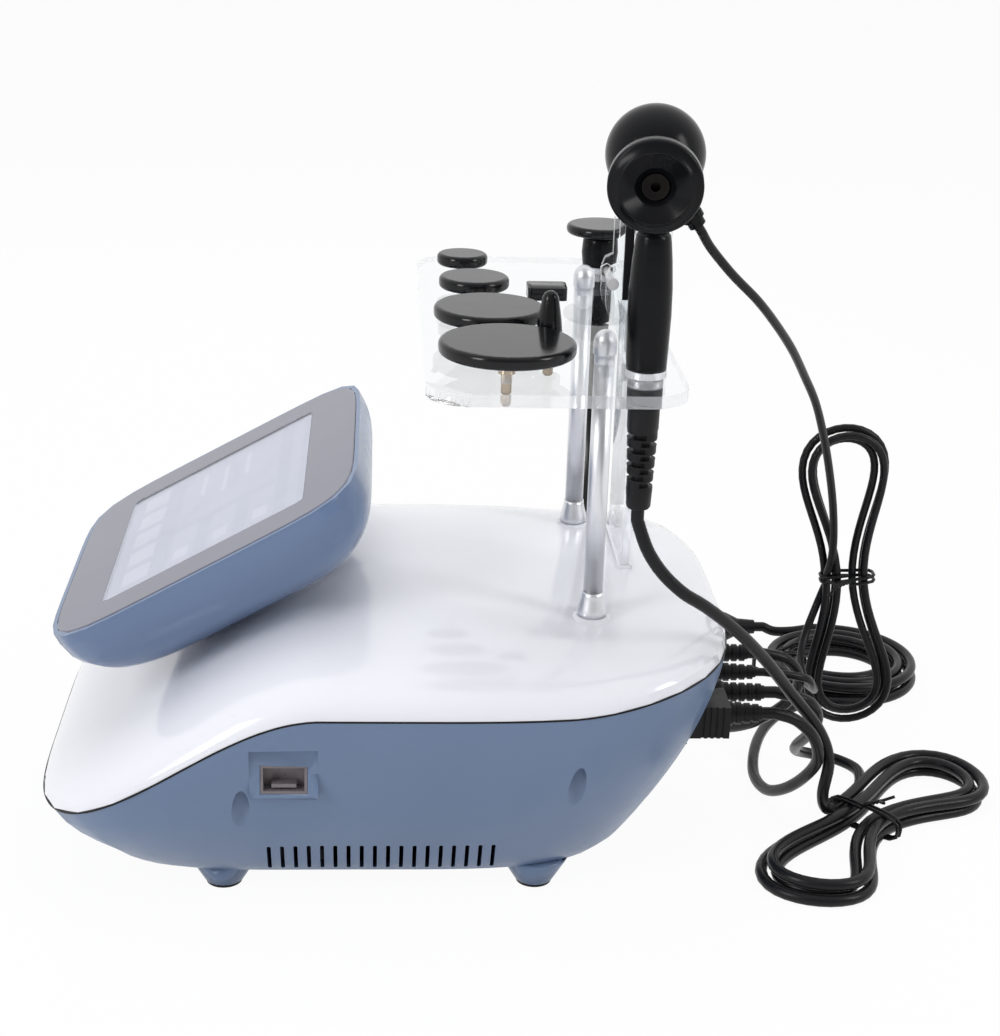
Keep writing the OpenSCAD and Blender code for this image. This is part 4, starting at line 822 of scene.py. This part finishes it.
def circuit_board(name, lacquer, track):
    """Green lacquer with copper tracks under it and tinned pads."""
    finish, tree, shader = new_finish(name)
    at = object_coords(tree)
    cells = tree.nodes.new("ShaderNodeTexVoronoi")
    cells.feature = "DISTANCE_TO_EDGE"
    cells.inputs["Scale"].default_value = 190.0
    tree.links.new(at, cells.inputs["Vector"])
    line = ramp(tree, cells.outputs["Distance"], 0.09, 0.06)
    body = mix_colour(tree, line, lacquer, track)
    pads = tree.nodes.new("ShaderNodeTexVoronoi")
    pads.inputs["Scale"].default_value = 260.0
    tree.links.new(at, pads.inputs["Vector"])
    pad = ramp(tree, pads.outputs["Distance"], 0.2, 0.16)
    tree.links.new(mix_colour(tree, pad, body, TINNED), shader.inputs["Base Color"])
    tree.links.new(ramp(tree, pad, 0.0, 1.0, 0.42, 0.25), shader.inputs["Roughness"])
    set_bump(tree, shader, line, 0.2, 0.00006)
    return finish


def lit_screen():
    """Pale backlit panel with a washed-out menu and slow clouding of the light."""
    finish, tree, shader = new_finish("lit_screen", Emission_Strength=0.84)
    layout = place_group(tree, screen_layout_group())
    cloud = noise(tree, object_coords(tree), 9.0, 2.0, 0.4)
    shown = mix_colour(tree, cloud, (0.39, 0.425, 0.555), (0.43, 0.465, 0.59))
    for layer, share, colour in (("Panel", 0.35, (0.52, 0.55, 0.67)), ("Key", 0.5, (0.64, 0.67, 0.78))):
        faint = math_node(tree, "MULTIPLY", layout.outputs[layer], share)
        shown = mix_colour(tree, faint, shown, colour)
    tree.links.new(shown, shader.inputs["Emission Color"])
    dark = mix_colour(tree, cloud, (0.02, 0.02, 0.022), (0.03, 0.03, 0.032))
    tree.links.new(dark, shader.inputs["Base Color"])
    tree.links.new(ramp(tree, cloud, 0.3, 0.7, 0.3, 0.45), shader.inputs["Roughness"])
    return finish


# Each finish: its colour, its clouded or hazed colour, for plastics its edge colour (scuffing and painted
# highlight), roughness and spread
SHELL_BLUE = moulded(
    "shell_blue", (0.140, 0.202, 0.326), (0.128, 0.189, 0.31), (0.24, 0.29, 0.4), 0.36, 0.05,
    grain=1300.0, bump=0.14, dust=0.035)
# its lighter edges are partly a painted highlight along the display rim
HEAD_BLUE = moulded(
    "head_blue", (0.130, 0.192, 0.325), (0.12, 0.18, 0.31), (0.22, 0.27, 0.38), 0.22, 0.03,
    grain=1300.0, bump=0.03, dust=0.015, scuff_glint_amount=0.1)
COVER_WHITE = moulded(
    "cover_white", (0.84, 0.845, 0.895), (0.825, 0.83, 0.88), (0.87, 0.87, 0.9), 0.14, 0.035,
    grain=500.0, bump=0.01, dust=0.03, scuff_glint_amount=0.3, coat=0.6, coat_rough=0.05)
BLACK_SATIN = moulded(
    "black_satin", (0.0045, 0.0048, 0.0058), (0.007, 0.0073, 0.0085), (0.03, 0.03, 0.033), 0.24, 0.05,
    grain=1700.0, bump=0.08, dust=0.006, shine=0.14)
BLACK_GLOSS = moulded(
    "black_gloss", (0.0045, 0.0047, 0.0057), (0.0065, 0.0068, 0.008), (0.03, 0.03, 0.033), 0.16, 0.05,
    grain=1200.0, bump=0.04, dust=0.005, shine=0.3)
BLACK_RUBBER = moulded(
    "black_rubber", (0.006, 0.006, 0.007), (0.009, 0.009, 0.0105), (0.03, 0.03, 0.032), 0.42, 0.08,
    grain=1500.0, bump=0.25, dust=0.015, shine=0.2)
CORD_BLACK = moulded(
    "cord_black", (0.006, 0.006, 0.007), (0.009, 0.009, 0.0105), (0.04, 0.04, 0.04), 0.32, 0.07,
    grain=900.0, bump=0.1, dust=0.015, scuff_glint_amount=0.0, shine=0.22)
SOCKET_GREY = moulded(
    "socket_grey", (0.18, 0.158, 0.17), (0.165, 0.145, 0.155), (0.25, 0.23, 0.24), 0.3, 0.05,
    grain=1800.0, bump=0.06, dust=0.02)
BEZEL_GREY = moulded(
    "bezel_grey", (0.15, 0.155, 0.205), (0.14, 0.145, 0.192), (0.3, 0.3, 0.36), 0.12, 0.04,
    grain=2600.0, bump=0.02, dust=0.02)
CHROME = plated("chrome", (0.78, 0.79, 0.82), (0.68, 0.69, 0.73), 0.3, 0.05)
POST_SATIN = plated(
    "post_satin", (0.80, 0.81, 0.84), (0.75, 0.76, 0.79), 0.4, 0.03, pitch=700.0, bump=0.03, scuff_glint_amount=0.0)
STEEL = plated("plated_steel", (0.62, 0.62, 0.63), (0.52, 0.52, 0.54), 0.34, 0.08, pitch=500.0)
BRASS = plated(
    "turned_brass", (0.50, 0.42, 0.33), (0.36, 0.30, 0.23), 0.2, 0.06, pitch=1500.0, scuff_glint_amount=0.2)
BLACKENED = plated(
    "blackened_brass", (0.016, 0.014, 0.013), (0.01, 0.009, 0.009), 0.35, 0.08, pitch=1500.0, scuff_glint_amount=0.05)
ALUMINIUM = plated(
    "extruded_aluminium", (0.74, 0.75, 0.77), (0.66, 0.67, 0.69), 0.38, 0.08, pitch=400.0)
ACRYLIC = clear_acrylic()
ACRYLIC_EDGE = acrylic_edge_painted_light()
WINDOW = window_glass()
BOARD = circuit_board("board_green", (0.018, 0.105, 0.045), (0.05, 0.19, 0.07))
LIT_SCREEN = lit_screen()

# The finish of each material slot of the record
FINISHES = {
    "shell_blue": SHELL_BLUE, "cover_white": COVER_WHITE, "black_rubber": BLACK_RUBBER,
    "black_plastic": BLACK_SATIN, "chrome": CHROME, "steel": STEEL, "brass": BRASS,
    "clear_acrylic": ACRYLIC, "board": BOARD, "aluminium": ALUMINIUM, "front_glass": BEZEL_GREY,
    "screen": BEZEL_GREY,
}


# Solids with better skins

GLOSSY = ("disc_70", "disc_60", "disc_40", "disc_30", "cone_electrode", "bar_electrode", "far_disc")
GLASS_SHEETS = (("tray", 2), ("rear_brace", 1), ("palm_cradle", 0))  # with the axis across the sheet
SOCKET_ROOM = [[c + side * 0.014 for c in corner]
               for side, corner in zip((-1, 1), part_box("service_socket"))]
POSTS = ((74.6, 111.6), (-74.6, 114.7), (-72, 144))
POST_R = 5.5
TRAY_LOW, TRAY_TOP = 296, 302.5
CAP_R, CAP_SIDE, CAP_DOME = 6.3, 6.2, 7.2


def refine(name, angle, finish=None):
    """Stands in for a solid with the same shape, its facets joined and shaded as one smooth skin."""
    node = nodes[name]
    bm = bmesh.new()
    bm.from_mesh(node.data)
    bmesh.ops.remove_doubles(bm, verts=bm.verts, dist=2e-6)
    mesh = bpy.data.meshes.new(name + "_skin")
    bm.to_mesh(mesh)
    bm.free()
    smooth_shade(mesh, angle)
    piece = add_piece(name + "_skin", mesh, finish or node.data.materials[0], node["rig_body"])
    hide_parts(name)
    return piece


def crisp_rim(mesh):
    """Keeps the flat rim round the display apart from the roundings beside it in the shading."""
    out = HEAD.to_3x3() @ Vector((0, 0, 1))
    bm = bmesh.new()
    bm.from_mesh(mesh)
    bm.normal_update()
    for edge in bm.edges:
        flat = [face.normal.dot(out) > 0.97 for face in edge.link_faces]
        if any(flat) and not all(flat):
            edge.smooth = False
    bm.to_mesh(mesh)
    bm.free()


def weigh_normals(piece):
    """Lets wide faces keep their own normals, so that only the roundings between them shade."""
    even = piece.modifiers.new("even_shading", "WEIGHTED_NORMAL")
    even.mode = "FACE_AREA"
    even.weight = 100
    even.keep_sharp = True


def smooth_housing():
    """Lower shell, cover and head on their true forms."""
    lay_normals(refine("top_cover", 28).data, crown_form())
    for name, form in (("base_shell", hull_form()), ("head_shell", head_form())):
        mesh = refine(name, 28).data
        round_out(mesh, form, SOCKET_ROOM)
        if name == "head_shell":
            crisp_rim(mesh)
        lay_normals(mesh, form)


def seam_shadow_strip():
    """Dark strip between the cover and the lower shell: painted shade that stands for the shadow in the
    seam, not a real gasket.
    """
    inset, half_high, half_deep = 0.6, 0.5, 0.8
    ring = [Vector((x, y, seam_z(y) + 0.2)) * MM for x, y in plan(256, HALF_W - inset, HALF_L - inset)]
    strip = [(high * half_high * MM, deep * half_deep * MM)
             for high, deep in ((-1, -1), (1, -1), (1, 1), (-1, 1))]
    bm = bmesh.new()
    sweep(bm, ring, strip, closed=True)
    add_piece("seam_shadow_strip", mesh_from(bm, "seam_shadow_strip", 40), BLACK_RUBBER, "base")


def edge_sheets():
    """Clear sheets with their sawn and polished edges in a finish of their own."""
    for name, thin in GLASS_SHEETS:
        piece = refine(name, 30)
        # the edge faces get the whiter finish, which is painted light
        piece.data.materials.append(ACRYLIC_EDGE)
        for face in piece.data.polygons:
            if abs(face.normal[thin]) < 0.5:
                face.material_index = 1


def bullet_caps(fittings):
    """Caps of the posts: each goes through the tray onto its tube, and ends in a tall dome above it."""
    mesh = fittings.data
    bm = bmesh.new()
    bm.from_mesh(mesh)
    above = [v for v in bm.verts if v.co.z > TRAY_LOW * MM]
    bmesh.ops.delete(bm, geom=above, context="VERTS")
    rows = [(POST_R, TRAY_LOW), (POST_R, TRAY_TOP + 0.1),
            (CAP_R - 0.3, TRAY_TOP + 0.1), (CAP_R, TRAY_TOP + 0.4)]
    for k in range(15):
        a = math.radians(6 * k)
        rows.append((CAP_R * math.cos(a), TRAY_TOP + CAP_SIDE + CAP_DOME * math.sin(a)))
    for px, py in POSTS:
        skin(bm, [[bm.verts.new(Vector((px + x, py + y, z)) * MM) for x, y in round_outline(r, 48)]
                  for r, z in rows])
    bmesh.ops.recalc_face_normals(bm, faces=bm.faces)
    bm.to_mesh(mesh)
    bm.free()
    smooth_shade(mesh, 40)


def dress_nodes():
    """Gives every solid the finish of its slot, and a better skin where it shows."""
    for part in frame["record"]["subparts"]:
        node = nodes[part["node"]]
        node.data.materials.clear()
        node.data.materials.append(FINISHES[part["material_slot"]])
    for name in GLOSSY:
        nodes[name].data.materials[0] = BLACK_GLOSS
    nodes["head_shell"].data.materials[0] = HEAD_BLUE
    nodes["palm_socket"].data.materials[0] = BLACKENED
    nodes["service_socket"].data.materials[0] = SOCKET_GREY
    smooth_housing()
    seam_shadow_strip()
    edge_sheets()
    for name in GLOSSY:
        weigh_normals(refine(name, 40))
    for name in ("palm_flange", "near_grip", "far_grip"):
        refine(name, 40)
    refine("post_tubes", 40, POST_SATIN)
    bullet_caps(refine("post_fittings", 40, POST_SATIN))


# Display

FACE_COUNT = 160
PANE_POWER = 60

# Border of the display: half width, half height, squareness and height of each ring, outside then inside
BORDER_RINGS = (
    (107, 92, HEAD_POWER, 0.05), (107, 92, HEAD_POWER, 2.5), (106.5, 91.5, HEAD_POWER, 3.0),
    (80, 62, PANE_POWER, 3.0), (79.9, 61.9, PANE_POWER, 2.8), (79.9, 61.9, PANE_POWER, 0.05))
PANE_HALF_W, PANE_HALF_H, PANE_HEIGHTS = 79.8, 61.8, (0.3, 2.95)
SCREEN_HALF_W, SCREEN_HALF_H, SCREEN_HEIGHT = 79.7, 61.7, 0.12


def face_piece(name, rings, finish, closed=False):
    """A piece on the display face, skinned over rings of half width, half height, squareness and height."""
    bm = bmesh.new()
    skin(bm, [[bm.verts.new(HEAD @ p) for p in face_outline(w, h, power, FACE_COUNT, z)]
              for w, h, power, z in rings], closed)
    piece = add_piece(name, mesh_from(bm, name, 30), finish, "head")
    return piece


def screen_face():
    """Lit face of the panel, with its menu laid out over it."""
    bm = bmesh.new()
    uv = bm.loops.layers.uv.new("screen")
    layout = ((0, 0), (1, 0), (1, 1), (0, 1))
    corners = [Vector(((2 * u - 1) * SCREEN_HALF_W, (2 * v - 1) * SCREEN_HALF_H, SCREEN_HEIGHT)) * MM
               for u, v in layout]
    face = bm.faces.new([bm.verts.new(HEAD @ p) for p in corners])
    for loop, at in zip(face.loops, layout):
        loop[uv].uv = at
    mesh = bpy.data.meshes.new("screen_face")
    bm.to_mesh(mesh)
    bm.free()
    add_piece("screen_face", mesh, LIT_SCREEN, "head")


def display_front():
    """Grey border, clear window and lit panel of the display."""
    border = face_piece("display_border", BORDER_RINGS, BEZEL_GREY, closed=True)
    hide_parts("display_glass")
    pane = [(PANE_HALF_W, PANE_HALF_H, PANE_POWER, z) for z in PANE_HEIGHTS]
    face_piece("display_window", pane, WINDOW)
    screen_face()


# Cords, their ties and the boots of the stick handpieces

# Boot: radius and height of its collar and sleeve, and of its end
BOOT_TOP = ((9.1, 302.7), (9.1, 290), (8.3, 289.6), (8.2, 275.2), (7.9, 274.6))
BOOT_END = ((6.8, 243.8), (6.9, 243.2), (6.4, 233.2), (5.6, 232))

# Slits between them: count, first height, pitch, half height, lip, depth, and half angle with its fade
SLIT_COUNT, SLIT_TOP, SLIT_PITCH, SLIT_HALF, SLIT_LIP, SLIT_R = 8, 271.8, 3.7, 1.3, 0.15, 4.5
SLIT_ANGLE, SLIT_FADE = 104, 16
RIB_R, RIB_TAPER = 7.9, 0.16

TIE_WRAPS, TIE_PITCH, TIE_WIRE_R, TAIL_WIRE_R, TIE_CORNER = 2, 3.4, 1.1, 1.0, 4.0
BUNDLE_Z = 8.6  # middle height of two layers of cord on the table


def ribbed_boot(node, body, at, sides=64):
    """Rubber boot below a stick handpiece, slit in turn from both sides so that it bends with the cord."""
    rows = [(r, z, 0) for r, z in BOOT_TOP]
    for i in range(SLIT_COUNT):
        r, z, side = RIB_R - RIB_TAPER * i, SLIT_TOP - SLIT_PITCH * i, 1 if i % 2 else -1
        edge = SLIT_HALF + SLIT_LIP
        rows += [(r, z + edge, 0), (r, z + SLIT_HALF, side), (r, z - SLIT_HALF, side), (r, z - edge, 0)]
    rows += [(r, z, 0) for r, z in BOOT_END]
    bm = bmesh.new()
    rings = []
    for r, z, side in rows:
        ring = []
        for x, y in round_outline(1.0, sides):
            aside = math.degrees(math.acos(max(-1, min(1, side * y))))
            cut = smooth((SLIT_ANGLE - aside) / SLIT_FADE) if side else 0
            reach = r - (r - SLIT_R) * cut
            ring.append(bm.verts.new(Vector((at[0] + reach * x, at[1] + reach * y, z)) * MM))
        rings.append(ring)
    skin(bm, rings)
    boot = add_piece(node + "_skin", mesh_from(bm, node + "_skin", 40), BLACK_RUBBER, body)
    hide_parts(node)
    return boot


def cord_tie(name, at, along, across, half_wide, half_high):
    """A plastic-coated wire tie: turns round the bundle and two twisted tails."""
    at = Vector(at)
    out = along.cross(across).normalized()
    out = -out if out.z < -0.5 or out.x < -0.5 else out
    line = []
    per = 40
    for i in range(TIE_WRAPS * per + 1):
        a = 2 * math.pi * i / per + math.pi / 2
        c, s = math.cos(a), math.sin(a)
        k = (abs(c / half_wide) ** TIE_CORNER + abs(s / half_high) ** TIE_CORNER) ** (-1 / TIE_CORNER)
        line.append(at + along * (i / per - TIE_WRAPS / 2) * TIE_PITCH + across * k * c + out * k * s)
    bm = bmesh.new()
    sweep(bm, [p * MM for p in line], round_outline(TIE_WIRE_R * MM, 8))
    root = at + out * (half_high + 0.6)
    for start in (math.pi, 0):
        tail = []
        for i in range(25):
            u = i / 24
            a = 2 * math.pi * 2.5 * min(1, u * 1.5) + start
            r = TIE_WIRE_R + max(0, u - 0.66) * 14
            twist = along * r * math.cos(a) + across * 0.5 * r * math.sin(a)
            tail.append(root + out * (1 + 9 * u) + across * 16 * u + twist)
        sweep(bm, [p * MM for p in tail], round_outline(TAIL_WIRE_R * MM, 8))
    return add_piece(name, mesh_from(bm, name, 50), CORD_BLACK, "base")


def lay_cord(name, line, d, tie, body=None):
    """One cord with its tie."""
    path = [p * MM for p in line]
    bm = bmesh.new()
    sweep(bm, path, round_outline(d / 2 * MM, 14))
    cord = add_piece(name + "_lead", mesh_from(bm, name + "_lead", 50), CORD_BLACK, body)
    wire = cord_tie(name + "_tie", *tie)
    return cord


def lay_cords():
    """The four cords, each in place of its solids."""
    near_boot = ribbed_boot("near_boot", "near_handle", (116, 128))
    far_boot = ribbed_boot("far_boot", "far_handle", (-116, 128))
    x_way, y_way = Vector((1, 0, 0)), Vector((0, 1, 0))

    near_tie = ((39.7, 285.5, BUNDLE_Z), NEAR_ALONG, NEAR_ACROSS, 24, 7.4)
    near = lay_cord("near", NEAR_LINE, STICK_D, near_tie)
    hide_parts("near_cord", "near_hank")
    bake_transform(near)

    palm_tie = ((-92, 295, 111), PALM_ALONG, PALM_ACROSS, 17, 6.6)
    palm = lay_cord("palm", PALM_LINE, PALM_D, palm_tie)
    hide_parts("palm_cord", "palm_hank")
    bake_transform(palm)

    far_tie = ((*FAR_PLACE, BUNDLE_Z), y_way, x_way, 26, 7.4)
    far = lay_cord("far", FAR_LINE, STICK_D, far_tie)
    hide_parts("far_cord", "far_hank")
    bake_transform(far)

    mains_tie = ((COIL_PLACE[0], COIL_PLACE[1] - 41, BUNDLE_Z), x_way, y_way, 18, 7.4)
    mains = lay_cord("mains", mains_line(), MAINS_D, mains_tie,
                     body="base")
    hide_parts("mains_cord", "mains_coil")


photo_camera()
studio()
dress_nodes()
display_front()
lay_cords()
